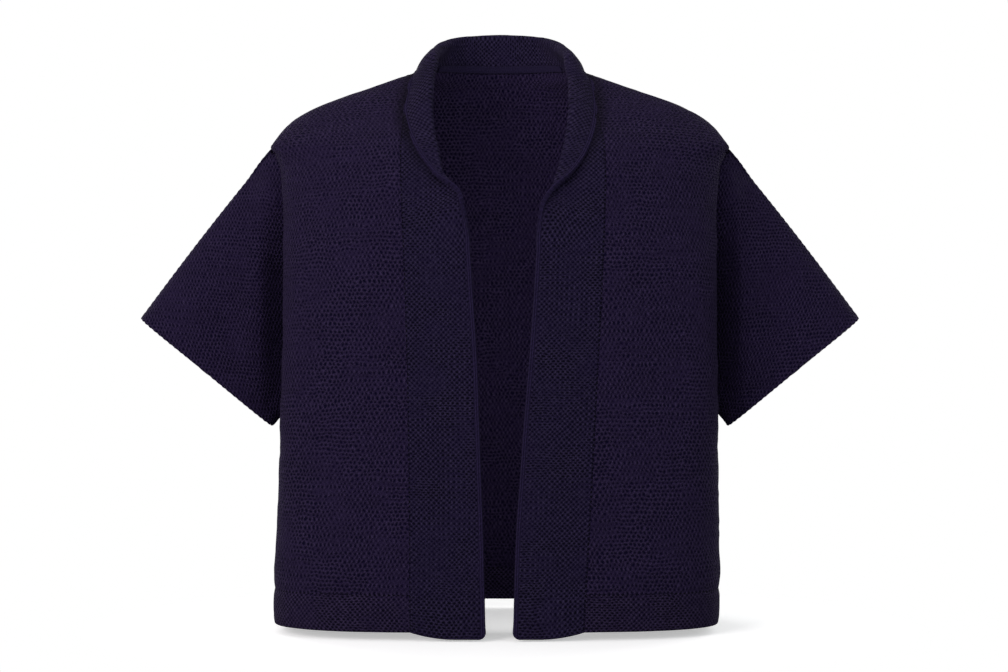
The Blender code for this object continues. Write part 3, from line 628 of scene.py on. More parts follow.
def sleeve_points(side, front_seam, back_seam, wall):
    """A sleeve from its armhole seam to its edge, round the front, underarm and back, and its rim."""
    front_share = lengths_along(front_seam[None], 1)[0]
    back_share = lengths_along(back_seam[None], 1)[0]
    front_share, back_share = front_share / front_share[-1], back_share / back_share[-1]
    seam = np.concatenate([front_seam, back_seam[-2:0:-1]])
    seam[0] = (front_seam[0] + back_seam[0]) / 2
    edge = np.concatenate([cuff_points(-1, side, front_share), cuff_points(1, side, back_share[-2:0:-1])])
    reach = np.linalg.norm(edge - seam, axis=1)
    shares, rim = rim_shares(SLEEVE_ROWS, reach, wall)
    down = shares[..., None]
    points = seam + (edge - seam) * down
    run = np.maximum(np.abs(edge[:, :1] - seam[:, :1]), 1e-6)
    top = np.concatenate([1 - front_share, 1 - back_share[-2:0:-1]])[:, None] ** 4
    crease = SLEEVE_CREASE + SLEEVE_CAP * top
    into_crease = np.clip(down / np.minimum(1, crease / run), 0, 1)
    swell = smooth_step((into_crease - SLEEVE_HOLLOW) / (1 - SLEEVE_HOLLOW))
    points[..., 1] = (seam + (edge - seam) * swell)[..., 1]
    line = edge[0] - seam[0]
    upward = unit(np.array([-side * line[2], 0, abs(line[0])]))
    points = points + SLEEVE_ARCH * np.sin(np.pi * down) * top * upward
    return points, rim


def rim_shares(rows, reach, wall):
    """Shares of the way to a free edge, as rows by columns, and how full the wall is at each row."""
    near = np.array(SEAM_STEPS)[:, None] / reach
    rim = 1 - np.array(RIM_STEPS + (0,))[:, None] * wall / 2 / reach
    main = near[-1] + (rim[0] - near[-1]) * np.linspace(0, 1, rows + 1)[1:-1, None]
    shares = np.concatenate([near, main, rim])
    fullness = np.ones(len(shares))
    fullness[-len(rim):] = rim_fullness(np.array(RIM_STEPS + (0,)))
    return shares, fullness


def rim_fullness(steps):
    """Thickness of a rounded rim at given shares of half the wall in from its edge."""
    return RIM_END + (1 - RIM_END) * np.sqrt(1 - (1 - np.clip(steps, 0, 1)) ** 2)


def collar_frame(side, seam, panel_wall):
    """Stand ends, directions and sizes of the collar strip at each point of its seam."""
    girth = lengths_along(seam[None], 1)[0]
    hand = "left" if side < 0 else "right"
    turned = np.stack([side * look_up(COLLAR, hand, girth), look_up(COLLAR, "depth_y", girth),
                       look_up(COLLAR, "height", girth)], axis=-1)
    level = seam[:, 2]
    edge_x = look_up(BAND_EDGE, hand, level)
    flat = placed(side, ring_points(-1, turn_of(-1, edge_x, level), level))
    flat[:, 0] = side * edge_x
    flat[:, 1] += panel_wall / 2
    into_band = smooth_step((girth - COLLAR_END) / (BAND_START - COLLAR_END))[:, None]
    crest = turned + (flat - turned) * into_band
    sizes = [look_up(COLLAR, name, girth)[:, None] for name in ("roll_radius", "roll_turn", "fall_" + hand)]
    return crest, sizes[0], np.radians(sizes[1]), sizes[2]


def collar_points(side, seam, panel_wall, wall):
    """Middle surface of a collar and band half, and the distance of each point from its free edge."""
    crest, radius, turn, fall = collar_frame(side, seam, panel_wall)
    stand = np.linalg.norm(crest - seam, axis=1)[:, None]
    rise = unit(crest - seam)
    outward = side * unit(np.cross(rise, np.gradient(crest, axis=0)))
    outward[0] = unit(outward[0] * [0, 1, 1])
    whole = stand + radius * turn + fall
    first, last = SEAM_STEPS[-1], whole - EDGE_STEPS[0]
    rolled = np.concatenate([np.linspace(0, 1, STAND_COLUMNS + 1), np.linspace(1, 2, ROLL_COLUMNS + 1)[1:],
                             np.linspace(2, 3, FALL_COLUMNS + 1)[1:]])
    flat = np.interp(rolled, range(4), FLAT_STOPS)
    stops = np.concatenate([0 * stand, stand, stand + radius * turn, whole], axis=1)
    shaped = np.stack([np.interp(rolled, range(4), row) for row in stops])
    spread = flat * whole + (shaped - flat * whole) * smooth_step(fall / LEAST_ROLLED_FALL)
    spread = first + (last - first) * spread / whole
    from_edge = np.concatenate([EDGE_STEPS[1:], np.array(RIM_STEPS + (0,)) * wall / 2])
    length = np.concatenate([0 * whole + SEAM_STEPS[:-1], spread, whole - from_edge], axis=1)
    to_edge = whole - length
    length, stand, radius, turn = (item[..., None] for item in (length, stand, radius, turn))
    rise, outward = rise[:, None], outward[:, None]
    angle = np.clip((length - stand) / radius, 0, turn)
    rest = np.maximum(length - stand - radius * turn, 0)
    points = seam[:, None] + rise * np.minimum(length, stand)
    points = points + radius * (np.sin(angle) * rise + (1 - np.cos(angle)) * outward)
    return points + rest * (np.cos(turn) * rise + np.sin(turn) * outward), to_edge


def mitre(normals, own, wall):
    """Inward step of a wall whose edge is cut along shared normals, kept to its true thickness."""
    return normals * wall / np.clip(np.sum(normals * own, axis=-1, keepdims=True), LEAST_MITRE, 1)


def soft_noise(across, down, wide, tall, seed):
    """Smooth, seeded unevenness between -1 and 1, with patches of a given width and height."""
    values = np.random.default_rng(seed).uniform(-1, 1, NOISE_CELLS)
    column, row = across / wide, down / tall
    left, top = np.floor(column).astype(int), np.floor(row).astype(int)
    share_x, share_y = smooth_step(column - left), smooth_step(row - top)

    def at(i, j):
        return values[i % NOISE_CELLS[0], j % NOISE_CELLS[1]]

    upper = at(left, top) * (1 - share_x) + at(left + 1, top) * share_x
    lower = at(left, top + 1) * (1 - share_x) + at(left + 1, top + 1) * share_x
    return upper * (1 - share_y) + lower * share_y


def crease_rise(points, face):
    """How far the creases drawn on a face lift its surface, at each point of a grid."""
    rise = np.zeros(points.shape[:-1])
    for row in CREASES[1:]:
        crease = dict(zip(CREASES[0], row))
        if crease["face"] != face:
            continue
        start = np.array([crease["from_x"], crease["from_z"]])
        run = np.array([crease["to_x"], crease["to_z"]]) - start
        offset = points[..., [0, 2]] - start
        share = np.clip(offset @ run / (run @ run), 0, 1)
        distance = np.linalg.norm(offset - share[..., None] * run, axis=-1)
        ends = smooth_step(share / CREASE_FADE) * smooth_step((1 - share) / CREASE_FADE)
        strength = CREASE_LEFT + (1 - CREASE_LEFT) * ends
        rise += crease["rise"] * np.exp(-(distance / crease["width"]) ** 2) * strength
    return rise * bpy.context.scene.cardigan_cloth.crease_depth


def groove(distance, depth):
    """A soft groove along an edge, at given distances from it."""
    return -depth * np.exp(-(distance / GROOVE_WIDTH) ** 2)


def away_from(distance, reach=RELIEF_START):
    """How far an effect has come in, from none at an edge to all of it at a reach from that edge."""
    return smooth_step(distance / reach)


def panel_shares():
    """Shares across a front from the band seam, and down it from the shoulder."""
    near = np.array(SEAM_STEPS) / MAIN_WIDTH * FOLD_SHARE
    main = near[-1] + (FOLD_SHARE - near[-1]) * np.linspace(0, 1, MAIN_COLUMNS + 1)[1:]
    tuck = FOLD_SHARE + (1 - FOLD_SHARE) * np.linspace(0, 1, TUCK_COLUMNS + 1)[1:]
    across = np.concatenate([near, main, tuck])
    to_underarm = UNDERARM_SHARE * np.linspace(0, 1, ARMHOLE_ROWS + 1) ** SHOULDER_CROWDING
    on_side = 1 - HEM_LINE_SHARE - UNDERARM_SHARE
    to_line = UNDERARM_SHARE + on_side * np.linspace(0, 1, SIDE_ROWS + 1)[1:]
    hem_line = 1 - HEM_LINE_SHARE * np.linspace(1, 0, HEM_LINE_ROWS + 1)[1:] ** HEM_LINE_CROWDING
    return across, np.concatenate([to_underarm, to_line, hem_line])


def hem_shares(wall):
    """Shares down a hem band from the hem line to the hem, and how full its wall is at each."""
    height = FRONT_HEM_LINE_Z - FRONT_HEM_Z
    shares, fullness = rim_shares(HEM_ROWS, np.array([height]), wall)
    return shares[:, 0], fullness


def side_forms(side):
    """Every surface of one side, for the walls that are set now."""
    cloth = bpy.context.scene.cardigan_cloth
    return sewn_side(side, cloth.panel_wall, cloth.band_wall)


def panel_grids(side, wall):
    """Outer points of a front and of half the back, down to the hem, and how full the hem rows are."""
    across, down = panel_shares()
    hem_down, hem_full = hem_shares(wall)
    back_across = np.concatenate([np.linspace(-1, 0, NECK_COLUMNS + 1)[:-1], across])
    front, back = (np.concatenate([panel_points(face, side, columns, down),
                                   hem_points(face, side, columns, hem_down)[1:]])
                   for face, columns in ((-1, across), (1, back_across)))
    return front, back, len(down), hem_full


def panel_normals(front, back):
    """Normals of a front and of half the back, shared along the shoulder line and the side seam."""
    front_normals, back_normals = (facing_out(grid, sheet_normals(grid)) for grid in (front, back))
    ridge = unit(front_normals[0] + back_normals[0, NECK_COLUMNS:])
    front_normals[0] = back_normals[0, NECK_COLUMNS:] = ridge
    below = slice(ARMHOLE_ROWS, None)
    side_seam = unit(front_normals[below, -1] + back_normals[below, -1])
    front_normals[below, -1] = back_normals[below, -1] = side_seam
    return front_normals, back_normals


def sewn_strip(side, seam_line, panel_edge, wall, band_wall):
    """The collar and band half, its normals, which a seam shares with the panels, and its free edge."""
    strip, to_edge = collar_points(side, seam_line - panel_edge * wall / 2, wall, band_wall)
    shape_band_end(strip, to_edge)
    normals = side * sheet_normals(strip)
    strip_edge = unit(normals[:, 0] + panel_edge)
    normals[:, 0] = strip_edge
    normals[0] = unit(normals[0] * [0, 1, 1])
    return strip + normals * band_wall / 2, normals, to_edge, strip_edge


@lru_cache(maxsize=4)
def sewn_side(side, wall, band_wall):
    """Surfaces of one side as grids of points, normals and inward steps, sewn along their edges."""
    front, back, rows, hem_full = panel_grids(side, wall)
    front_normals, back_normals = panel_normals(front, back)

    seam_line = np.concatenate([back[0, :NECK_COLUMNS], front[:, 0]])
    panel_edge = np.concatenate([back_normals[0, :NECK_COLUMNS], front_normals[:, 0]])
    strip, strip_normals, to_edge, strip_edge = sewn_strip(side, seam_line, panel_edge, wall, band_wall)
    own_back, own_front = back_normals[0, NECKLINE].copy(), front_normals[:, 0].copy()
    back_normals[0, NECKLINE] = strip_edge[NECKLINE]
    front_normals[:, 0] = strip_edge[NECK_COLUMNS:]
    front_step, back_step = front_normals * wall, back_normals * wall
    front_step[:, 0] = mitre(front_normals[:, 0], own_front, wall)
    back_step[0, NECKLINE] = mitre(back_normals[0, NECKLINE], own_back, wall)

    sleeve, sleeve_full = sleeve_points(side, front[ARMHOLE_EDGE, -1], back[ARMHOLE_EDGE, -1], wall)
    sleeve_normals = side * sheet_normals(sleeve, closed=True)
    own_panel = np.concatenate([front_normals[ARMHOLE_EDGE, -1], back_normals[ARMHOLE_EDGE, -1][-2:0:-1]])
    seam_normals = unit(own_panel + sleeve_normals[0])
    sleeve_step = sleeve_normals * wall
    sleeve_step[0] = mitre(seam_normals, sleeve_normals[0], wall)
    sleeve_normals[0] = seam_normals
    down_front = np.arange(ARMHOLE_ROWS // ROW_STRIDE + 1)
    for normals, step, order in ((front_normals, front_step, down_front),
                                 (back_normals, back_step, -down_front)):
        normals[ARMHOLE_EDGE, -1] = seam_normals[order]
        step[ARMHOLE_EDGE, -1] = sleeve_step[0, order]
    return {
        "front": (front, front_normals, front_step),
        "back": (back, back_normals, back_step),
        "sleeve": (sleeve, sleeve_normals, sleeve_step),
        "strip": (strip, strip_normals, strip_normals * band_wall),
        "rows": rows, "hem_full": hem_full, "sleeve_full": sleeve_full, "to_edge": to_edge,
    }


def shape_band_end(strip, to_edge):
    """Lets a band's end down below the hem, away from its seam, and rounds its corner at the free edge."""
    ease = np.clip(lengths_along(strip, 1) / BAND_EASE, 0, 1)
    below = smooth_step((FRONT_HEM_LINE_Z - strip[:, :1, 2]) / (FRONT_HEM_LINE_Z - FRONT_HEM_Z))
    strip[:, :, 2] += (BAND_END_Z - FRONT_HEM_Z) * ease * (2 - ease) * below
    corner = np.clip(1 - to_edge[-1] / BAND_CORNER, 0, 1)
    lift = BAND_CORNER * (1 - np.sqrt(1 - corner ** 2))
    above_end = strip[:, :, 2] - strip[-1, :, 2]
    strip[:, :, 2] += lift * np.clip(1 - above_end / (3 * BAND_CORNER), 0, 1)


def wall_object(name, outer, inner, places, finish, closed=False, from_edge=None, under_fall=None):
    """A closed wall between two grids of points: a grid is laid on one and extruded onto the other.

    The places are where each point lies in the flat knitted piece, and become its UV map. The
    distances from a free edge, and the collar fall's painted shadow on each point, become attributes.
    """
    rows, columns = places.shape[:2]
    mesh = bmesh.new()
    lay = mesh.loops.layers.uv.new("cloth")
    order = mesh.verts.layers.int.new("order")
    edge = mesh.verts.layers.float.new("from_edge")
    under = mesh.verts.layers.float.new("under_fall")
    cells = columns - 1
    width = outer.shape[1]
    bmesh.ops.create_grid(mesh, x_segments=cells, y_segments=rows - 1, size=0.5, calc_uvs=False)
    spots = {vert: (round((vert.co.y + 0.5) * (rows - 1)), round((vert.co.x + 0.5) * cells))
             for vert in mesh.verts}
    for polygon in mesh.faces:
        for loop in polygon.loops:
            row, column = spots[loop.vert]
            loop[lay].uv = places[row, column]
    if closed:
        first = {row: vert for vert, (row, column) in spots.items() if column == 0}
        last = {vert: first[row] for vert, (row, column) in spots.items() if column == cells}
        bmesh.ops.weld_verts(mesh, targetmap=last)
        spots = {vert: spot for vert, spot in spots.items() if vert.is_valid}
    for vert, (row, column) in spots.items():
        vert.co = outer[row, column % width]
        vert[order] = row * width + column % width
        vert[edge] = 1.0 if from_edge is None else from_edge[row, column]
        vert[under] = 0.0 if under_fall is None else under_fall[row, column]
    extruded = bmesh.ops.extrude_face_region(mesh, geom=mesh.faces[:])
    inner_rows = inner.reshape(-1, 3)
    for vert in (item for item in extruded["geom"] if isinstance(item, bmesh.types.BMVert)):
        vert.co = inner_rows[vert[order]]
    bmesh.ops.recalc_face_normals(mesh, faces=mesh.faces[:])
    mesh.verts.layers.int.remove(mesh.verts.layers.int["order"])
    for polygon in mesh.faces:
        polygon.smooth = True
    for line in mesh.edges:
        line.smooth = line.calc_face_angle(0) < SHARP_ANGLE
    data = bpy.data.meshes.new(name)
    mesh.to_mesh(data)
    mesh.free()
    piece = bpy.data.objects.new(name, data)
    data.materials.append(finish)
    bpy.context.scene.collection.objects.link(piece)
    return piece


def painted_fall_shadow(side, points, to_edge=None):
    """How much painted shadow each point of a grid gets from lying beneath the free edge of the collar's
    fall, 0 to 1.
    """
    strip = side_forms(side)["strip"][0]
    girth = lengths_along(strip[:, :1], 0)[:, 0]
    free_edge = strip[girth < COLLAR_END][::3, -1]
    reach = np.stack([np.linalg.norm(points - spot, axis=-1) for spot in free_edge]).min(axis=0)
    near = np.exp(-(reach / FALL_SHADOW_REACH) ** 2)
    if to_edge is not None:
        longer_way = to_edge - FALL_SHADOW_DETOUR * reach - FALL_SHADOW_CLEAR
        near = near * smooth_step(longer_way / FALL_SHADOW_FADE)
    return near


def dress(piece, node):
    """Puts a piece on the frame in place of its node."""
    low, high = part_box(node)
    own = np.array([corner.co for corner in piece.data.vertices])
    astray = max(np.max(np.array(low) - own.min(0)), np.max(own.max(0) - np.array(high)))
    if astray > MOST_ASTRAY:
        raise RuntimeError(f"{piece.name} leaves the form of its solid by {astray * 1000:.1f} mm")
    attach(piece, "root")
    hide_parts(node)


# Finishes

def group_of(name, inputs, outputs):
    """An empty node group with named sockets, and its input and output nodes."""
    group = bpy.data.node_groups.new(name, "ShaderNodeTree")
    for way, sockets in (("INPUT", inputs), ("OUTPUT", outputs)):
        for title, kind in sockets:
            group.interface.new_socket(name=title, in_out=way, socket_type="NodeSocket" + kind)
    return group, group.nodes.new("NodeGroupInput"), group.nodes.new("NodeGroupOutput")


def wire(tree, source, target):
    """Joins a socket to another, or sets the target where the source is a plain value."""
    if isinstance(source, bpy.types.NodeSocket):
        tree.links.new(source, target)
    else:
        target.default_value = source


def math_node(tree, operation, first, second=None, third=None):
    """One step of arithmetic on up to three values or sockets."""
    node = tree.nodes.new("ShaderNodeMath")
    node.operation = operation
    for index, value in enumerate((first, second, third)):
        if value is not None:
            wire(tree, value, node.inputs[index])
    return node.outputs[0]


def ramp_node(tree, value, low, high, start=0.0, end=1.0):
    """A smooth ramp of a value between two stops."""
    node = tree.nodes.new("ShaderNodeMapRange")
    node.interpolation_type = "SMOOTHSTEP"
    for name, item in (("Value", value), ("From Min", low), ("From Max", high), ("To Min", start),
                       ("To Max", end)):
        wire(tree, item, node.inputs[name])
    return node.outputs["Result"]


def noise_node(tree, place, scale, detail=2.0, rough=0.5):
    """Outputs of a noise that is read at a place, with a scale in turns per metre."""
    node = tree.nodes.new("ShaderNodeTexNoise")
    wire(tree, place, node.inputs["Vector"])
    wire(tree, scale, node.inputs["Scale"])
    node.inputs["Detail"].default_value = detail
    node.inputs["Roughness"].default_value = rough
    return node.outputs


def vector_node(tree, operation, first, second=None, scale=None):
    """One step of arithmetic on two vectors, or on a vector and a scale."""
    node = tree.nodes.new("ShaderNodeVectorMath")
    node.operation = operation
    wire(tree, first, node.inputs[0])
    if second is not None:
        wire(tree, second, node.inputs[1])
    if scale is not None:
        wire(tree, scale, node.inputs["Scale"])
    return node.outputs[0]


def cord_edge_group():
    """Two smooth cords of plain stitches along a free edge, with a groove on the inner side of each, all
    given painted highlight and shade.
    """
    group, start, end = group_of("corded_edge", (("From Edge", "Float"), ("Place", "Vector")),
                                 (("Inside", "Float"), ("Tone", "Float"), ("Height", "Float")))
    distance = start.outputs["From Edge"]
    inside = ramp_node(group, distance, *CORDS_FADE)
    turn = math_node(group, "MULTIPLY_ADD", distance, 2 * np.pi / CORD_PITCH,
                     -2 * np.pi * FIRST_CORD / CORD_PITCH)
    wave = math_node(group, "COSINE", turn)
    split = group.nodes.new("ShaderNodeSeparateXYZ")
    wire(group, start.outputs["Place"], split.inputs[0])
    slant = math_node(group, "MULTIPLY", distance, CORD_SLANT)
    link = math_node(group, "SINE", math_node(group, "MULTIPLY_ADD", split.outputs[1],
                                              2 * np.pi / CHAIN_STITCH, slant))
    raised = math_node(group, "MULTIPLY_ADD", link, CHAIN_RISE,
                       math_node(group, "MULTIPLY", wave, CORD_RISE))
    at_edge = math_node(group, "SUBTRACT", 1.0, inside)
    wire(group, inside, end.inputs["Inside"])
    # Painted highlight along the cords and painted shade in the grooves, lighter overall near the edge.
    lighter = math_node(group, "MULTIPLY_ADD", raised, CORD_PAINTED_LIGHT, CORD_PAINTED_LIFT)
    wire(group, math_node(group, "MULTIPLY_ADD", lighter, at_edge, 1.0), end.inputs["Tone"])
    wire(group, math_node(group, "MULTIPLY", raised, at_edge), end.inputs["Height"])
    return group


def stray(tree, place, scale, reach, **noise):
    """How far a noise moves each place, to either side, within a reach."""
    colour = noise_node(tree, place, scale, **noise)["Color"]
    centred = vector_node(tree, "SUBTRACT", colour, (0.5, 0.5, 0.5))
    return vector_node(tree, "SCALE", centred, scale=reach)


def moss_stitch_group():
    """Raised and sunken stitches in turn, each row half a stitch off the last, with pits between that the
    finish paints dark as shade.
    """
    group, start, end = group_of(
        "moss_stitch",
        (("Place", "Vector"), ("Stitches Per Metre", "Float"), ("Rows Per Metre", "Float"),
         ("Waver", "Float")),
        (("Height", "Float"), ("Pit", "Float"), ("Crest", "Float")))
    place, waver = start.outputs["Place"], start.outputs["Waver"]
    drift = stray(group, place, STITCH_DRIFT, waver, detail=3.0, rough=0.6)
    slip = stray(group, place, STITCH_SLIP, math_node(group, "MULTIPLY", waver, SLIP_SHARE), detail=1.0)
    moved = vector_node(group, "ADD", vector_node(group, "ADD", place, drift), slip)
    split = group.nodes.new("ShaderNodeSeparateXYZ")
    wire(group, moved, split.inputs[0])
    stitch = math_node(group, "MULTIPLY", split.outputs[0], start.outputs["Stitches Per Metre"])
    row = math_node(group, "MULTIPLY", split.outputs[1], start.outputs["Rows Per Metre"])
    along = math_node(group, "COSINE", math_node(group, "MULTIPLY", stitch, 2 * np.pi))
    down = math_node(group, "COSINE", math_node(group, "MULTIPLY", row, np.pi))
    rows = math_node(group, "COSINE", math_node(group, "MULTIPLY", row, 2 * np.pi))
    patch = group.nodes.new("ShaderNodeSeparateXYZ")
    wire(group, noise_node(group, place, STITCH_PATCH, 1.0)["Color"], patch.inputs[0])
    crossed, in_rows, in_columns = (ramp_node(group, noise, *row)
                                    for noise, row in zip(patch.outputs, STITCH_PATCHES[1:]))
    lattice = math_node(group, "MULTIPLY", math_node(group, "MULTIPLY", along, down), crossed)
    lattice = math_node(group, "MULTIPLY_ADD", rows, in_rows, lattice)
    lattice = math_node(group, "MULTIPLY_ADD", along, in_columns, lattice)
    tension = noise_node(group, place, STITCH_TENSION, 1.0)["Fac"]
    loose = ramp_node(group, tension, *PIT_START)
    pit = ramp_node(group, lattice, loose, PIT_END)
    bump = ramp_node(group, lattice, math_node(group, "SUBTRACT", loose, CREST_GAP), CREST_END)
    in_stitch, in_row = (2 * np.pi * turns for turns in PLY_TURNS)
    plies = math_node(group, "SINE", math_node(group, "MULTIPLY_ADD", stitch, in_stitch,
                                               math_node(group, "MULTIPLY", row, in_row)))
    height = math_node(group, "MULTIPLY_ADD", bump, CREST_RISE,
                       math_node(group, "MULTIPLY", plies, PLY_RISE))
    height = math_node(group, "MULTIPLY_ADD", pit, -PIT_DROP, height)
    wire(group, height, end.inputs["Height"])
    wire(group, pit, end.inputs["Pit"])
    wire(group, bump, end.inputs["Crest"])
    return group


def wool_group():
    """Short wool fibres, and slow changes of tone from one length of yarn to the next."""
    group, start, end = group_of("wool_fibres", (("Place", "Vector"), ("Fineness", "Float")),
                                 (("Height", "Float"), ("Shade", "Float")))
    place = start.outputs["Place"]
    fibres = noise_node(group, place, start.outputs["Fineness"], 3.0, 0.62)["Fac"]
    stretched = vector_node(group, "MULTIPLY", place, YARN_DRAWN_OUT)
    patches = noise_node(group, stretched, YARN_LENGTHS, 2.0)["Fac"]
    shade = math_node(group, "MULTIPLY_ADD", math_node(group, "SUBTRACT", fibres, 0.5), FIBRE_TONE, 1.0)
    slow = math_node(group, "MULTIPLY_ADD", math_node(group, "SUBTRACT", patches, 0.5), YARN_TONE, 1.0)
    wire(group, fibres, end.inputs["Height"])
    wire(group, math_node(group, "MULTIPLY", shade, slow), end.inputs["Shade"])
    return group


def yarn_tone_group():
    """The yarn's colour with painted highlight on the raised stitches, going over to a deeper painted shade
    of it in the pits.
    """
    group, start, end = group_of(
        "yarn_tone", (("Yarn", "Color"), ("Deep Tint", "Vector"), ("Shade", "Float"), ("Pit", "Float"),
                      ("Crest", "Float"), ("Depth", "Float")),
        (("Color", "Color"),))
    raised = math_node(group, "SUBTRACT", start.outputs["Crest"], start.outputs["Pit"])
    lowered = math_node(group, "MULTIPLY_ADD", raised, -PAINTED_PIT_CONTRAST, MEAN_PIT_SHADE)
    deep = math_node(group, "MULTIPLY", lowered, start.outputs["Depth"])
    lost = vector_node(group, "SUBTRACT", (1.0, 1.0, 1.0), start.outputs["Deep Tint"])
    kept = vector_node(group, "SUBTRACT", (1.0, 1.0, 1.0), vector_node(group, "SCALE", lost, scale=deep))
    colour = vector_node(group, "MULTIPLY", start.outputs["Yarn"], kept)
    colour = vector_node(group, "MAXIMUM", colour, DARKEST_YARN)
    wire(group, vector_node(group, "SCALE", colour, scale=start.outputs["Shade"]), end.inputs["Color"])
    return group


def picked_up_row_group():
    """A mask of small holes along a joined edge, where the stitches are picked up; the finish paints them
    dark as shade.
    """
    group, start, end = group_of(
        "picked_up_row", (("Place", "Vector"), ("Holes Per Metre", "Float"), ("Level", "Float")),
        (("Mask", "Float"),))
    split = group.nodes.new("ShaderNodeSeparateXYZ")
    wire(group, start.outputs["Place"], split.inputs[0])
    above = math_node(group, "SUBTRACT", split.outputs[1], start.outputs["Level"])
    beside = ramp_node(group, math_node(group, "ABSOLUTE", above), *HOLE_BESIDE)
    turn = math_node(group, "MULTIPLY", split.outputs[0], start.outputs["Holes Per Metre"])
    hole = math_node(group, "COSINE", math_node(group, "MULTIPLY", turn, 2 * np.pi))
    mask = math_node(group, "MULTIPLY", beside, ramp_node(group, hole, *HOLE_ALONG))
    wire(group, mask, end.inputs["Mask"])
    return group


def attribute(tree, name):
    """A value that is stored at each point of a piece."""
    node = tree.nodes.new("ShaderNodeAttribute")
    node.attribute_name = name
    return node.outputs["Fac"]


def changed_over(tree, place):
    """A place in the flat with its two directions changed over."""
    parts = tree.nodes.new("ShaderNodeSeparateXYZ")
    wire(tree, place, parts.inputs[0])
    turned = tree.nodes.new("ShaderNodeCombineXYZ")
    wire(tree, parts.outputs[1], turned.inputs[0])
    wire(tree, parts.outputs[0], turned.inputs[1])
    return turned.outputs[0]


def placed_group(tree, name, make, **values):
    """A group that materials share, put in one of them with its own values."""
    node = tree.nodes.new("ShaderNodeGroup")
    node.node_tree = bpy.data.node_groups.get(name) or make()
    for key, value in values.items():
        wire(tree, value, node.inputs[key.replace("_", " ").title()])
    return node.outputs


def knit_finish(name, colour, stitches, rows, waver, relief, depth=1.0, holes_level=None, corded=False):
    """A knitted wool finish in one colour, and in one gauge of stitches and rows per metre.

    The waver is how far stitches stray and the depth how deep the painted pit shade goes between them.
    The holes of a picked-up row lie at a level from the hem line or, on a corded piece, from the seam.
    """
    found = bpy.data.materials.get(name)
    if found:
        return found
    yarn = bpy.context.scene.cardigan_yarn
    finish = bpy.data.materials.new(name)
    finish.use_nodes = True
    tree = finish.node_tree
    shader = tree.nodes["Principled BSDF"]
    lay = tree.nodes.new("ShaderNodeUVMap")
    lay.uv_map = "cloth"
    place = lay.outputs["UV"]
    stitch = placed_group(tree, "moss_stitch", moss_stitch_group, place=place, stitches_per_metre=stitches,
                          rows_per_metre=rows, waver=waver)
    wool = placed_group(tree, "wool_fibres", wool_group, place=place, fineness=FIBRE_FINENESS)
    pit, crest = stitch["Pit"], stitch["Crest"]
    # Painted shadow: the yarn's colour is darkened beneath the free edge of the collar's fall.
    kept = math_node(tree, "MULTIPLY_ADD", attribute(tree, "under_fall"), -PAINTED_SHADOW_DEPTH, 1.0)
    shade = math_node(tree, "MULTIPLY", wool["Shade"], kept)
    height = stitch["Height"]
    if corded:
        cords = placed_group(tree, "corded_edge", cord_edge_group, place=place,
                             from_edge=attribute(tree, "from_edge"))
        pit = math_node(tree, "MULTIPLY", pit, cords["Inside"])
        crest = math_node(tree, "MULTIPLY", crest, cords["Inside"])
        # Painted highlight on the edge cords and painted shade in the grooves beside them.
        shade = math_node(tree, "MULTIPLY", shade, cords["Tone"])
        height = math_node(tree, "MULTIPLY_ADD", height, cords["Inside"], cords["Height"])
    if holes_level is not None:
        beside = changed_over(tree, place) if corded else place
        row = placed_group(tree, "picked_up_row", picked_up_row_group, place=beside,
                           holes_per_metre=HOLES_PER_METRE, level=holes_level)["Mask"]
        # The holes take the painted pit shade, and a painted shade of their own darkens the colour further.
        pit = math_node(tree, "MAXIMUM", pit, row)
        shade = math_node(tree, "MULTIPLY", shade, math_node(tree, "MULTIPLY_ADD", row, -HOLE_PAINTED_SHADE, 1.0))
        height = math_node(tree, "MULTIPLY_ADD", row, -HOLE_DROP, height)
    height = math_node(tree, "MULTIPLY_ADD", wool["Height"], FIBRE_HEIGHT, height)
    # Painted shade in the pits and painted highlight on the raised stitches go into the base colour here.
    tone = placed_group(tree, "yarn_tone", yarn_tone_group, yarn=(*colour, 1.0),
                        deep_tint=tuple(yarn.deep_tint), shade=shade, pit=pit, crest=crest, depth=depth)
    wire(tree, tone["Color"], shader.inputs["Base Color"])
    shader.inputs["Roughness"].default_value = yarn.roughness
    shader.inputs["Metallic"].default_value = 0.0
    shader.inputs["Specular IOR Level"].default_value = WOOL_SPECULAR
    shader.inputs["Sheen Weight"].default_value = yarn.sheen
    shader.inputs["Sheen Roughness"].default_value = SHEEN_ROUGHNESS
    shader.inputs["Sheen Tint"].default_value = SHEEN_TINT
    bump = tree.nodes.new("ShaderNodeBump")
    bump.inputs["Strength"].default_value = 1.0
    bump.inputs["Distance"].default_value = relief
    wire(tree, height, bump.inputs["Height"])
    wire(tree, bump.outputs["Normal"], shader.inputs["Normal"])
    return finish


def body_finish():
    yarn = bpy.context.scene.cardigan_yarn
    return knit_finish("moss_knit", yarn.body_colour, 1 / yarn.stitch_width, 1 / yarn.stitch_height,
                       waver=0.0075, relief=0.0016, depth=1.08)


def sleeve_finish():
    yarn = bpy.context.scene.cardigan_yarn
    return knit_finish("sleeve_knit", yarn.body_colour, 1 / yarn.sleeve_stitch, 1 / yarn.stitch_height,
                       waver=0.0060, relief=0.0016, depth=1.08)


def hem_finish():
    yarn = bpy.context.scene.cardigan_yarn
    return knit_finish("hem_knit", yarn.hem_colour, 1 / yarn.seed_width, 1 / yarn.seed_height,
                       waver=0.0045, relief=0.0014, depth=1.3, holes_level=-0.0004)


def band_finish():
    yarn = bpy.context.scene.cardigan_yarn
    return knit_finish("band_knit", yarn.band_colour, 1 / yarn.seed_width, 1 / yarn.seed_height,
                       waver=0.0045, relief=0.0014, depth=1.3, holes_level=0.0004, corded=True)


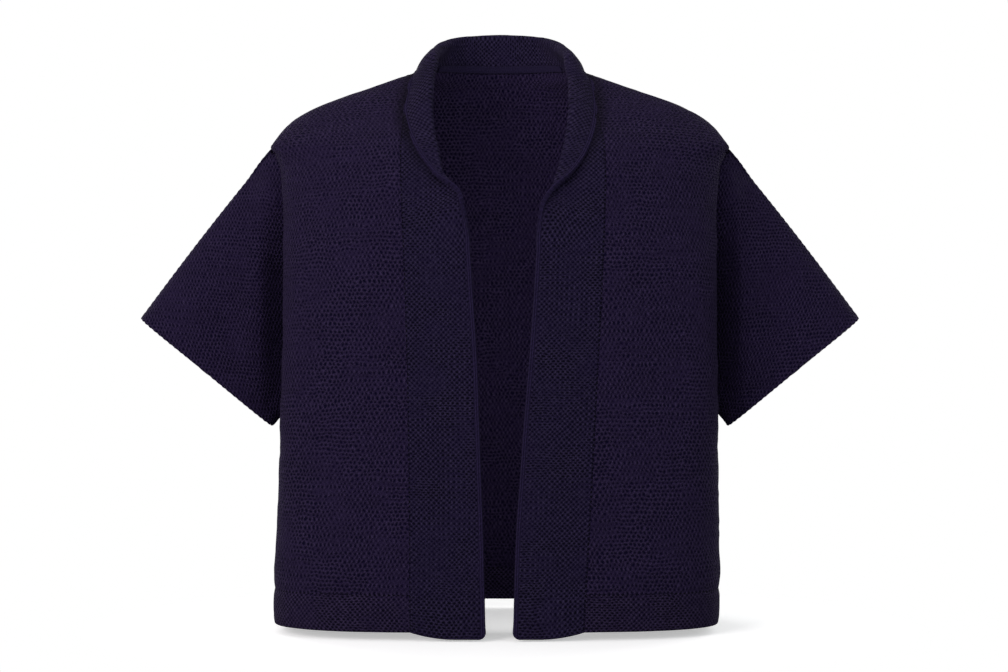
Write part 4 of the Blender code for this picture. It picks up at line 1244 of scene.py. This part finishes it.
def tape_finish():
    yarn = bpy.context.scene.cardigan_yarn
    return knit_finish("tape_knit", yarn.tape_colour, stitches=420.0, rows=300.0,
                       waver=0.0008, relief=0.0004, depth=0.35)


# Surfaces of the pieces

def thickened(points, step, normals, relief, fullness=1.0, bend=0.0):
    """Outer and inner points of a wall, raised by a relief on both faces and bent as a whole."""
    middle = points - step / 2 + normals * np.asarray(bend)[..., None]
    half = (step / 2 + normals * relief[..., None]) * np.asarray(fullness)[..., None]
    return middle + half, middle - half


def unevenness(place, seed):
    """Uneven tension of the knitting, as a fine relief and as a slow bend of the whole cloth."""
    amount = bpy.context.scene.cardigan_cloth.unevenness
    fine, slow, broad = (strength * soft_noise(place[..., 0], place[..., 1], wide, tall, seed + index)
                         for index, (wide, tall, strength) in enumerate(TENSION[1:]))
    return fine * amount, (slow + broad) * amount


def panel_surface(side, face):
    """A panel and its hem band as one surface: outer and inner points, and places in the flat."""
    forms = side_forms(side)
    points, normals, step = forms["front" if face < 0 else "back"]
    rows = forms["rows"]
    down = lengths_along(points, 0)
    from_line = down[rows - 1] - down
    to_top = from_line[:1] - from_line
    run = lengths_along(points, 1)
    to_side = run[:, -1:] - run
    to_line = np.abs(from_line)
    clear = away_from(np.minimum(to_line, to_side)) * away_from(to_top)
    settle = away_from(to_side, PANEL_SETTLE) * away_from(to_top, PANEL_SETTLE)
    if face < 0:
        fold = len(SEAM_STEPS) + MAIN_COLUMNS - 1
        along = (run[:, fold:fold + 1] - run) * -side
        clear, settle = clear * away_from(run), settle * away_from(run, SEAM_SETTLE)
        edge_groove = groove(run, LIGHT_GROOVE)
    else:
        along = run * side
        neck = np.arange(points.shape[1]) <= NECK_COLUMNS
        edge_groove = groove(to_top, LIGHT_GROOVE) * neck
    place = np.stack([along, from_line], axis=-1)
    fine, slow = unevenness(place, FRONT_SEED if face < 0 else BACK_SEED)
    relief = fine * clear + groove(to_line, LIGHT_GROOVE) + groove(to_side, SEAM_GROOVE) + edge_groove
    bend = slow * clear * settle + crease_rise(points, face) * settle
    fullness = np.ones(len(points))
    fullness[rows - 1:] = forms["hem_full"]
    outer, inner = thickened(points, step, normals, relief, fullness[:, None], bend)
    return outer, inner, place


def split_rows(surface, rows, stride):
    """The panel above the hem line, and the hem band below it."""
    panel = [item[:rows][::stride] for item in surface]
    return panel, [item[rows - 1:] for item in surface]


def sleeve_layout(side, ring):
    """Places of a sleeve in the flat: its rows laid out from the middle of its front."""
    middle = ring.shape[1] // 4
    seen = ring[..., [0, 2]] * [side, 1]
    true = np.linalg.norm(np.diff(ring, axis=1), axis=-1, keepdims=True)
    moves = unit(np.diff(seen, axis=1) + 1e-9) * true
    laid = np.concatenate([np.zeros((len(ring), 1, 2)), np.cumsum(moves, axis=1)], axis=1)
    start = seen[:, middle:middle + 1].copy()
    out = lengths_along(ring, 0)[:, middle:middle + 1]
    start[..., 0] = SLEEVE_LAY_X + out * np.cos(SLEEVE_LAY_TURN)
    place = laid - laid[:, middle:middle + 1] + start
    place[..., 1] -= SLEEVE_LAY_SLOPE * place[..., 0]
    place[..., 0] *= side
    return place


def sleeve_surface(side):
    """A sleeve's outer and inner points, and their places in the flat, open along its top line."""
    forms = side_forms(side)
    points, normals, step = forms["sleeve"]
    ring = np.concatenate([points, points[:, :1]], axis=1)
    place = sleeve_layout(side, ring)
    reach = lengths_along(ring, 0)
    to_edge = reach[-1:] - reach
    around = lengths_along(ring, 1)
    to_top = np.minimum(around, around[:, -1:] - around)
    clear = away_from(reach) * away_from(to_top, TOP_LINE_CLEAR)
    fine, slow = unevenness(place, SLEEVE_SEED)
    top_beads = 0.5 + 0.5 * np.cos(2 * np.pi * reach / TOP_BEAD)
    top_line = TOP_BEAD_RISE * top_beads * np.exp(-(to_top / TOP_BEAD_WIDTH) ** 2)
    top_line = top_line * away_from(reach, TOP_BEAD_START)
    relief = fine * clear + groove(reach, ARMHOLE_GROOVE) + top_line
    toward = np.clip(normals[..., 1] * CREASE_TURN, -1, 1)
    toward = np.concatenate([toward, toward[:, :1]], axis=1)
    fold = crease_rise(ring, -1) * np.clip(-toward, 0, 1) + crease_rise(ring, 1) * np.clip(toward, 0, 1)
    bend = slow * clear * SLEEVE_BEND + fold
    bend = bend * away_from(reach, SEAM_SETTLE) * away_from(to_edge, EDGE_SETTLE)
    fullness = forms["sleeve_full"][:, None]
    outer, inner = thickened(points, step, normals, relief[:, :-1], fullness, bend[:, :-1])
    beads = EDGE_BEAD_RISE / 2 * np.cos(2 * np.pi * around[-1] / EDGE_BEAD)
    outward = unit(points[-1] - points[-LAST_ROWS])
    push = (np.exp(-(to_edge / EDGE_BEAD_WIDTH) ** 2) * beads)[:, :-1, None] * outward
    return outer + push, inner + push, place


def strip_surface(side):
    """A collar and band half: outer and inner points, and places in the flat."""
    forms = side_forms(side)
    points, normals, step = forms["strip"]
    to_edge = forms["to_edge"]
    run = lengths_along(points, 1)
    girth = lengths_along(points[:, :1], 0) + 0 * run
    place = np.stack([run, side * girth], axis=-1)
    fine, slow = unevenness(place, STRIP_SEED)
    clear = away_from(run) * away_from(to_edge - CORDS_REACH, CORDS_REACH)
    relief = STRIP_RELIEF * fine * clear + groove(run, SEAM_GROOVE)
    chain = 0.5 + 0.5 * np.cos(2 * np.pi * girth / CHAIN_STITCH)
    for at, width, rise, chained in EDGE_CORDS[1:]:
        relief = relief + rise * np.exp(-((to_edge - at) / width) ** 2) * (1 - chained + chained * chain)
    bend = slow * STRIP_BEND * away_from(run, STRIP_SETTLE) * away_from(girth, STRIP_SETTLE)
    lift = FALL_LIFT * np.exp(-(to_edge / FALL_LIFT_WIDTH) ** 2)
    bend = bend + lift * smooth_step((COLLAR_END - girth) / FALL_LIFT_FADE)
    half = bpy.context.scene.cardigan_cloth.band_wall / 2
    down = lengths_along(points, 0)
    rim = rim_fullness(to_edge / half) * rim_fullness((down[-1:] - down) / half)
    outer, inner = thickened(points, step, normals, relief, rim, bend)
    return outer, inner, place


def tape_surface(side):
    """Half of the neck tape, on the inner face of the collar stand."""
    wall = bpy.context.scene.cardigan_cloth.tape_wall
    count = round(NECK_COLUMNS * TAPE_REACH) + 1
    inner = strip_surface(side)[1][:count]
    normals = side_forms(side)["strip"][1][:count]
    run = lengths_along(inner, 1)
    shares = np.array(TAPE_SHARES)
    reach = TAPE_START + TAPE_WIDTH * shares

    def across_stand(grid):
        rows = [[np.interp(reach, run[row], grid[row, :, axis]) for axis in range(3)]
                for row in range(count)]
        return np.stack(rows).transpose(0, 2, 1)

    laid, inward = across_stand(inner), unit(-across_stand(normals))
    edge = np.minimum(shares, 1 - shares) * TAPE_WIDTH
    thick = wall * (TAPE_RIM + (1 - TAPE_RIM) * np.sqrt(smooth_step(edge / TAPE_RIM_WIDTH)))
    far_end = lengths_along(laid, 0)
    near_end = smooth_step((far_end[-1:] - far_end) / TAPE_END_WIDTH)
    thick = thick * (TAPE_END + (1 - TAPE_END) * near_end)
    near = laid + inward * TAPE_GAP
    along = far_end * side
    place = np.stack([along, reach + 0 * along], axis=-1)
    return near + inward * thick[..., None], near, place


def joined_halves(left, right, axis=1):
    """Two mirrored halves joined along their first column or row, the left one first.

    Grids of points have three values each. Their shared line is kept in the middle.
    """
    joined = []
    for one, other in zip(left, right):
        if axis == 1:
            whole = np.concatenate([one[:, ::-1], other[:, 1:]], axis=1)
            if whole.shape[-1] == 3:
                whole[:, one.shape[1] - 1, 0] = (one[:, 0, 0] + other[:, 0, 0]) / 2
        else:
            whole = np.concatenate([one[::-1], other[1:]])
            if whole.shape[-1] == 3:
                whole[one.shape[0] - 1, :, 0] = 0
        joined.append(whole)
    return joined


def hand_of(side):
    return "left" if side < 0 else "right"


def front_and_hem(side):
    """A front and its hem band, each as outer and inner points and places in the flat."""
    return split_rows(panel_surface(side, -1), side_forms(side)["rows"], ROW_STRIDE)


def back_and_hem():
    """The back and its hem band, each whole from side to side."""
    left, right = (split_rows(panel_surface(side, 1), side_forms(side)["rows"], ROW_STRIDE)
                   for side in (-1, 1))
    return joined_halves(left[0], right[0]), joined_halves(left[1], right[1])


# Properties

class CardiganCloth(bpy.types.PropertyGroup):
    """Sizes of the knitted walls and how the cloth hangs."""

    panel_wall: bpy.props.FloatProperty(
        name="Panel wall", description="Thickness of the fronts, back and sleeves", default=0.0030,
        min=0.001, max=0.006, unit="LENGTH", precision=4)
    band_wall: bpy.props.FloatProperty(
        name="Band wall", description="Thickness of the collar and front bands", default=0.0036,
        min=0.001, max=0.006, unit="LENGTH", precision=4)
    tape_wall: bpy.props.FloatProperty(
        name="Tape wall", description="Thickness of the neck tape", default=0.0016,
        min=0.0005, max=0.003, unit="LENGTH", precision=4)
    crease_depth: bpy.props.FloatProperty(
        name="Crease depth", description="How strongly the soft creases show", default=1.0,
        min=0.0, max=2.0, subtype="FACTOR")
    unevenness: bpy.props.FloatProperty(
        name="Unevenness", description="How far uneven tension lifts the cloth", default=0.001,
        min=0.0, max=0.003, unit="LENGTH", precision=4)


class CardiganYarn(bpy.types.PropertyGroup):
    """Colours and gauge of the knitting."""

    body_colour: bpy.props.FloatVectorProperty(
        name="Body yarn", description="Colour of the fronts, back and sleeves", subtype="COLOR",
        default=(0.0203, 0.0131, 0.0402), min=0.0, max=1.0)
    band_colour: bpy.props.FloatVectorProperty(
        name="Band yarn", description="Colour of the collar and front bands",
        subtype="COLOR", default=(0.0191, 0.0138, 0.0388), min=0.0, max=1.0)
    hem_colour: bpy.props.FloatVectorProperty(
        name="Hem yarn", description="Colour of the hem bands", subtype="COLOR",
        default=(0.0230, 0.0154, 0.0419), min=0.0, max=1.0)
    tape_colour: bpy.props.FloatVectorProperty(
        name="Tape", description="Colour of the neck tape", subtype="COLOR",
        default=(0.0117, 0.0083, 0.0265), min=0.0, max=1.0)
    stitch_width: bpy.props.FloatProperty(
        name="Stitch width", description="Distance between the pits of one row of the body",
        default=0.0047, min=0.001, max=0.02, unit="LENGTH", precision=4)
    sleeve_stitch: bpy.props.FloatProperty(
        name="Sleeve stitch width", description="Distance between the pits of one row of a sleeve",
        default=0.0044, min=0.001, max=0.02, unit="LENGTH", precision=4)
    stitch_height: bpy.props.FloatProperty(
        name="Stitch height", description="Distance between two rows of the body", default=0.0041,
        min=0.001, max=0.02, unit="LENGTH", precision=4)
    seed_width: bpy.props.FloatProperty(
        name="Seed width", description="Distance between the pits of one row of a band",
        default=0.0050, min=0.001, max=0.02, unit="LENGTH", precision=4)
    seed_height: bpy.props.FloatProperty(
        name="Seed height", description="Distance between two rows of a band", default=0.0026,
        min=0.001, max=0.02, unit="LENGTH", precision=4)
    # The pits' painted shade: how much of each colour is left where shade falls between stitches.
    deep_tint: bpy.props.FloatVectorProperty(
        name="Deep tint", description="How much of each colour is left in the pits between stitches",
        default=(0.27, 0.20, 0.42), min=0.0, max=1.0)
    sheen: bpy.props.FloatProperty(
        name="Sheen", description="How much the wool's nap catches light at a glance", default=0.025,
        min=0.0, max=1.0, subtype="FACTOR")
    roughness: bpy.props.FloatProperty(
        name="Roughness", description="How dull the yarn is", default=0.92, min=0.0, max=1.0,
        subtype="FACTOR")


class CardiganStage(bpy.types.PropertyGroup):
    """Floor and light of the studio."""

    floor_colour: bpy.props.FloatVectorProperty(
        name="Floor", description="Colour of the floor", subtype="COLOR", default=(0.92, 0.92, 0.92),
        min=0.0, max=1.0)
    floor_drop: bpy.props.FloatProperty(
        name="Floor drop", description="Gap between the lowest band end and the floor",
        default=0.002, min=0.0, max=0.1, unit="LENGTH", precision=4)
    floor_return: bpy.props.FloatProperty(
        name="Floor return", description="Share of the floor's light that reaches the garment",
        default=0.35, min=0.0, max=1.0, subtype="FACTOR")
    floor_glow: bpy.props.FloatProperty(
        name="Floor glow", description="How much light the floor under the garment gives off",
        default=0.43, min=0.0, max=1.0, subtype="FACTOR")
    sky: bpy.props.FloatProperty(
        name="Surround", description="Strength of the even light all round", default=0.30, min=0.0,
        max=4.0)
    key_power: bpy.props.FloatProperty(
        name="Key light", description="Power of the large soft light at the upper left",
        default=44.0, min=0.0, unit="POWER")
    side_power: bpy.props.FloatProperty(
        name="Side light", description="Power of the large soft light at the upper right",
        default=12.0, min=0.0, unit="POWER")
    back_power: bpy.props.FloatProperty(
        name="Back lights", description="Power of each of the two soft lights behind the garment",
        default=26.0, min=0.0, unit="POWER")
    inside_power: bpy.props.FloatProperty(
        name="Inside light", description="Power of the small light that faces the back's inner side",
        default=0.27, min=0.0, unit="POWER")
    front_power: bpy.props.FloatProperty(
        name="Front light", description="Power of the soft light beside the camera", default=16.0,
        min=0.0, unit="POWER")
    top_power: bpy.props.FloatProperty(
        name="Top light", description="Power of the soft light overhead", default=9.0, min=0.0,
        unit="POWER")


# Operators

class MESH_OT_cardigan_back(bpy.types.Operator):
    """Build the back, one piece from side to side"""

    bl_idname = "mesh.cardigan_back"
    bl_label = "Back"

    def execute(self, context):
        panel = back_and_hem()[0]
        piece = wall_object("knit_back", *panel, body_finish())
        dress(piece, "back")
        return {"FINISHED"}


class MESH_OT_cardigan_fronts(bpy.types.Operator):
    """Build the two fronts"""

    bl_idname = "mesh.cardigan_fronts"
    bl_label = "Fronts"

    def execute(self, context):
        for side in (-1, 1):
            hand = hand_of(side)
            panel = front_and_hem(side)[0]
            piece = wall_object(f"knit_front_{hand}", *panel, body_finish(),
                                under_fall=painted_fall_shadow(side, panel[0]))
            dress(piece, f"front_{hand}")
        return {"FINISHED"}


class MESH_OT_cardigan_sleeves(bpy.types.Operator):
    """Build the two sleeves"""

    bl_idname = "mesh.cardigan_sleeves"
    bl_label = "Sleeves"

    def execute(self, context):
        for side in (-1, 1):
            hand = hand_of(side)
            surface = sleeve_surface(side)
            piece = wall_object(f"knit_sleeve_{hand}", *surface, sleeve_finish(), closed=True)
            dress(piece, f"sleeve_{hand}")
        return {"FINISHED"}


class MESH_OT_cardigan_bands(bpy.types.Operator):
    """Build the shawl collar and front bands, one strip on each side of the centre back"""

    bl_idname = "mesh.cardigan_bands"
    bl_label = "Collar and front bands"

    def execute(self, context):
        for side in (-1, 1):
            hand = hand_of(side)
            surface = strip_surface(side)
            to_edge = side_forms(side)["to_edge"]
            piece = wall_object(f"knit_collar_band_{hand}", *surface, band_finish(), from_edge=to_edge,
                                under_fall=painted_fall_shadow(side, surface[0], to_edge))
            dress(piece, f"collar_band_{hand}")
        return {"FINISHED"}


class MESH_OT_cardigan_hems(bpy.types.Operator):
    """Build the hem bands of the back and the fronts"""

    bl_idname = "mesh.cardigan_hems"
    bl_label = "Hem bands"

    def execute(self, context):
        hem = back_and_hem()[1]
        piece = wall_object("knit_hem_band_back", *hem, hem_finish())
        dress(piece, "hem_band_back")
        for side in (-1, 1):
            hand = hand_of(side)
            hem = front_and_hem(side)[1]
            piece = wall_object(f"knit_hem_band_front_{hand}", *hem, hem_finish())
            dress(piece, f"hem_band_front_{hand}")
        return {"FINISHED"}


class MESH_OT_cardigan_tape(bpy.types.Operator):
    """Build the neck tape that covers the back neck seam"""

    bl_idname = "mesh.cardigan_tape"
    bl_label = "Neck tape"

    def execute(self, context):
        surface = joined_halves(tape_surface(-1), tape_surface(1), axis=0)
        piece = wall_object("woven_neck_tape", *surface, tape_finish())
        dress(piece, "neck_tape")
        return {"FINISHED"}


class SCENE_OT_cardigan_stage(bpy.types.Operator):
    """Build the floor, the light and the camera"""

    bl_idname = "scene.cardigan_stage"
    bl_label = "Stage"

    def execute(self, context):
        stage = context.scene.cardigan_stage
        build_floor(stage, CAD_BOX[0][2] - stage.floor_drop)
        build_surround(context.scene, stage)
        centre = np.mean(CAD_BOX, axis=0)
        for row in LIGHTS[1:]:
            light = dict(zip(LIGHTS[0], row))
            inside = light["name"] == "inside"
            target = (light["x"], 1.0, light["z"]) if inside else centre
            soft_light(light, target, getattr(stage, light["power"]))
        build_camera(context.scene)
        return {"FINISHED"}


def build_floor(stage, level):
    """A round pale floor that fades into the surround far away."""
    mesh = bmesh.new()
    bmesh.ops.create_circle(mesh, cap_ends=True, segments=96, radius=FLOOR_RADIUS)
    bmesh.ops.translate(mesh, verts=mesh.verts[:], vec=(0, 0, level))
    data = bpy.data.meshes.new("floor")
    mesh.to_mesh(data)
    mesh.free()
    floor = bpy.data.objects.new("floor", data)
    bpy.context.scene.collection.objects.link(floor)
    finish = bpy.data.materials.new("floor_paper")
    finish.use_nodes = True
    tree = finish.node_tree
    shader = tree.nodes["Principled BSDF"]
    shader.inputs["Roughness"].default_value = 0.9
    shader.inputs["Specular IOR Level"].default_value = 0.0
    shader.inputs["Emission Color"].default_value = (1.0, 1.0, 1.0, 1.0)
    seen = tree.nodes.new("ShaderNodeLightPath").outputs["Is Camera Ray"]
    share = math_node(tree, "MULTIPLY_ADD", seen, 1.0 - stage.floor_return, stage.floor_return)
    paper = vector_node(tree, "SCALE", tuple(stage.floor_colour), scale=share)
    wire(tree, paper, shader.inputs["Base Color"])
    wire(tree, math_node(tree, "MULTIPLY", seen, stage.floor_glow), shader.inputs["Emission Strength"])
    place = tree.nodes.new("ShaderNodeTexCoord").outputs["Object"]
    flat = vector_node(tree, "MULTIPLY", place, (FLOOR_SQUEEZE, 1.0, 0.0))
    length = tree.nodes.new("ShaderNodeVectorMath")
    length.operation = "LENGTH"
    wire(tree, flat, length.inputs[0])
    far = ramp_node(tree, length.outputs["Value"], *FLOOR_FADE)
    glow = tree.nodes.new("ShaderNodeEmission")
    lit = math_node(tree, "SUBTRACT", 1.0, seen)
    wire(tree, math_node(tree, "MULTIPLY_ADD", lit, stage.sky, seen), glow.inputs["Strength"])
    mix = tree.nodes.new("ShaderNodeMixShader")
    wire(tree, far, mix.inputs["Fac"])
    wire(tree, shader.outputs["BSDF"], mix.inputs[1])
    wire(tree, glow.outputs["Emission"], mix.inputs[2])
    wire(tree, mix.outputs["Shader"], tree.nodes["Material Output"].inputs["Surface"])
    data.materials.append(finish)


def build_surround(scene, stage):
    """Even white light all round, seen as plain white."""
    world = bpy.data.worlds.new("studio")
    scene.world = world
    world.use_nodes = True
    tree = world.node_tree
    back = tree.nodes["Background"]
    back.inputs["Color"].default_value = (1.0, 1.0, 1.0, 1.0)
    seen = tree.nodes.new("ShaderNodeLightPath").outputs["Is Camera Ray"]
    lit = math_node(tree, "SUBTRACT", 1.0, seen)
    wire(tree, math_node(tree, "MULTIPLY_ADD", lit, stage.sky, seen), back.inputs["Strength"])
    scene.view_settings.view_transform = "Standard"


def soft_light(light, target, power):
    """A soft light from a row of the table, facing a point."""
    data = bpy.data.lights.new(light["name"], "AREA")
    data.shape = "RECTANGLE"
    data.size = light["width"]
    data.size_y = light["height"]
    data.energy = power
    data.color = (light["red"], light["green"], light["blue"])
    lamp = bpy.data.objects.new(light["name"], data)
    lamp.location = (light["x"], light["y"], light["z"])
    toward = Vector(target) - lamp.location
    lamp.rotation_euler = toward.to_track_quat("-Z", "Y").to_euler()
    lamp.visible_camera = False
    bpy.context.scene.collection.objects.link(lamp)


def build_camera(scene):
    """A level camera in front of the middle of the garment."""
    data = bpy.data.cameras.new("front_camera")
    data.sensor_width = CAMERA_SENSOR
    data.lens = CAMERA_LENS
    camera = bpy.data.objects.new("front_camera", data)
    camera.location = CAMERA_PLACE
    camera.rotation_euler = (np.pi / 2, 0, 0)
    scene.collection.objects.link(camera)
    scene.camera = camera


class VIEW3D_PT_cardigan(bpy.types.Panel):
    """Sizes, colours and build steps of the cardigan"""

    bl_idname = "VIEW3D_PT_cardigan"
    bl_label = "Cardigan"
    bl_space_type = "VIEW_3D"
    bl_region_type = "UI"
    bl_category = "Cardigan"

    def draw(self, context):
        for title, group in (("Cloth", context.scene.cardigan_cloth), ("Yarn", context.scene.cardigan_yarn),
                             ("Stage", context.scene.cardigan_stage)):
            box = self.layout.box()
            box.label(text=title)
            for name in group.__annotations__:
                box.prop(group, name)
        for operator in OPERATORS:
            self.layout.operator(operator.bl_idname)


GROUPS = (("cardigan_cloth", CardiganCloth), ("cardigan_yarn", CardiganYarn),
          ("cardigan_stage", CardiganStage))
OPERATORS = (MESH_OT_cardigan_back, MESH_OT_cardigan_fronts, MESH_OT_cardigan_sleeves,
             MESH_OT_cardigan_bands, MESH_OT_cardigan_hems, MESH_OT_cardigan_tape,
             SCENE_OT_cardigan_stage)


def register():
    for name, group in GROUPS:
        bpy.utils.register_class(group)
        setattr(bpy.types.Scene, name, bpy.props.PointerProperty(type=group))
    for item in (*OPERATORS, VIEW3D_PT_cardigan):
        bpy.utils.register_class(item)


def unregister():
    for item in reversed((*OPERATORS, VIEW3D_PT_cardigan)):
        bpy.utils.unregister_class(item)
    for name, group in reversed(GROUPS):
        delattr(bpy.types.Scene, name)
        bpy.utils.unregister_class(group)


def main():
    register()
    bpy.ops.mesh.cardigan_back()
    bpy.ops.mesh.cardigan_fronts()
    bpy.ops.mesh.cardigan_sleeves()
    bpy.ops.mesh.cardigan_bands()
    bpy.ops.mesh.cardigan_hems()
    bpy.ops.mesh.cardigan_tape()
    bpy.ops.scene.cardigan_stage()
    bpy.context.view_layer.update()


if __name__ == "__main__":
    main()
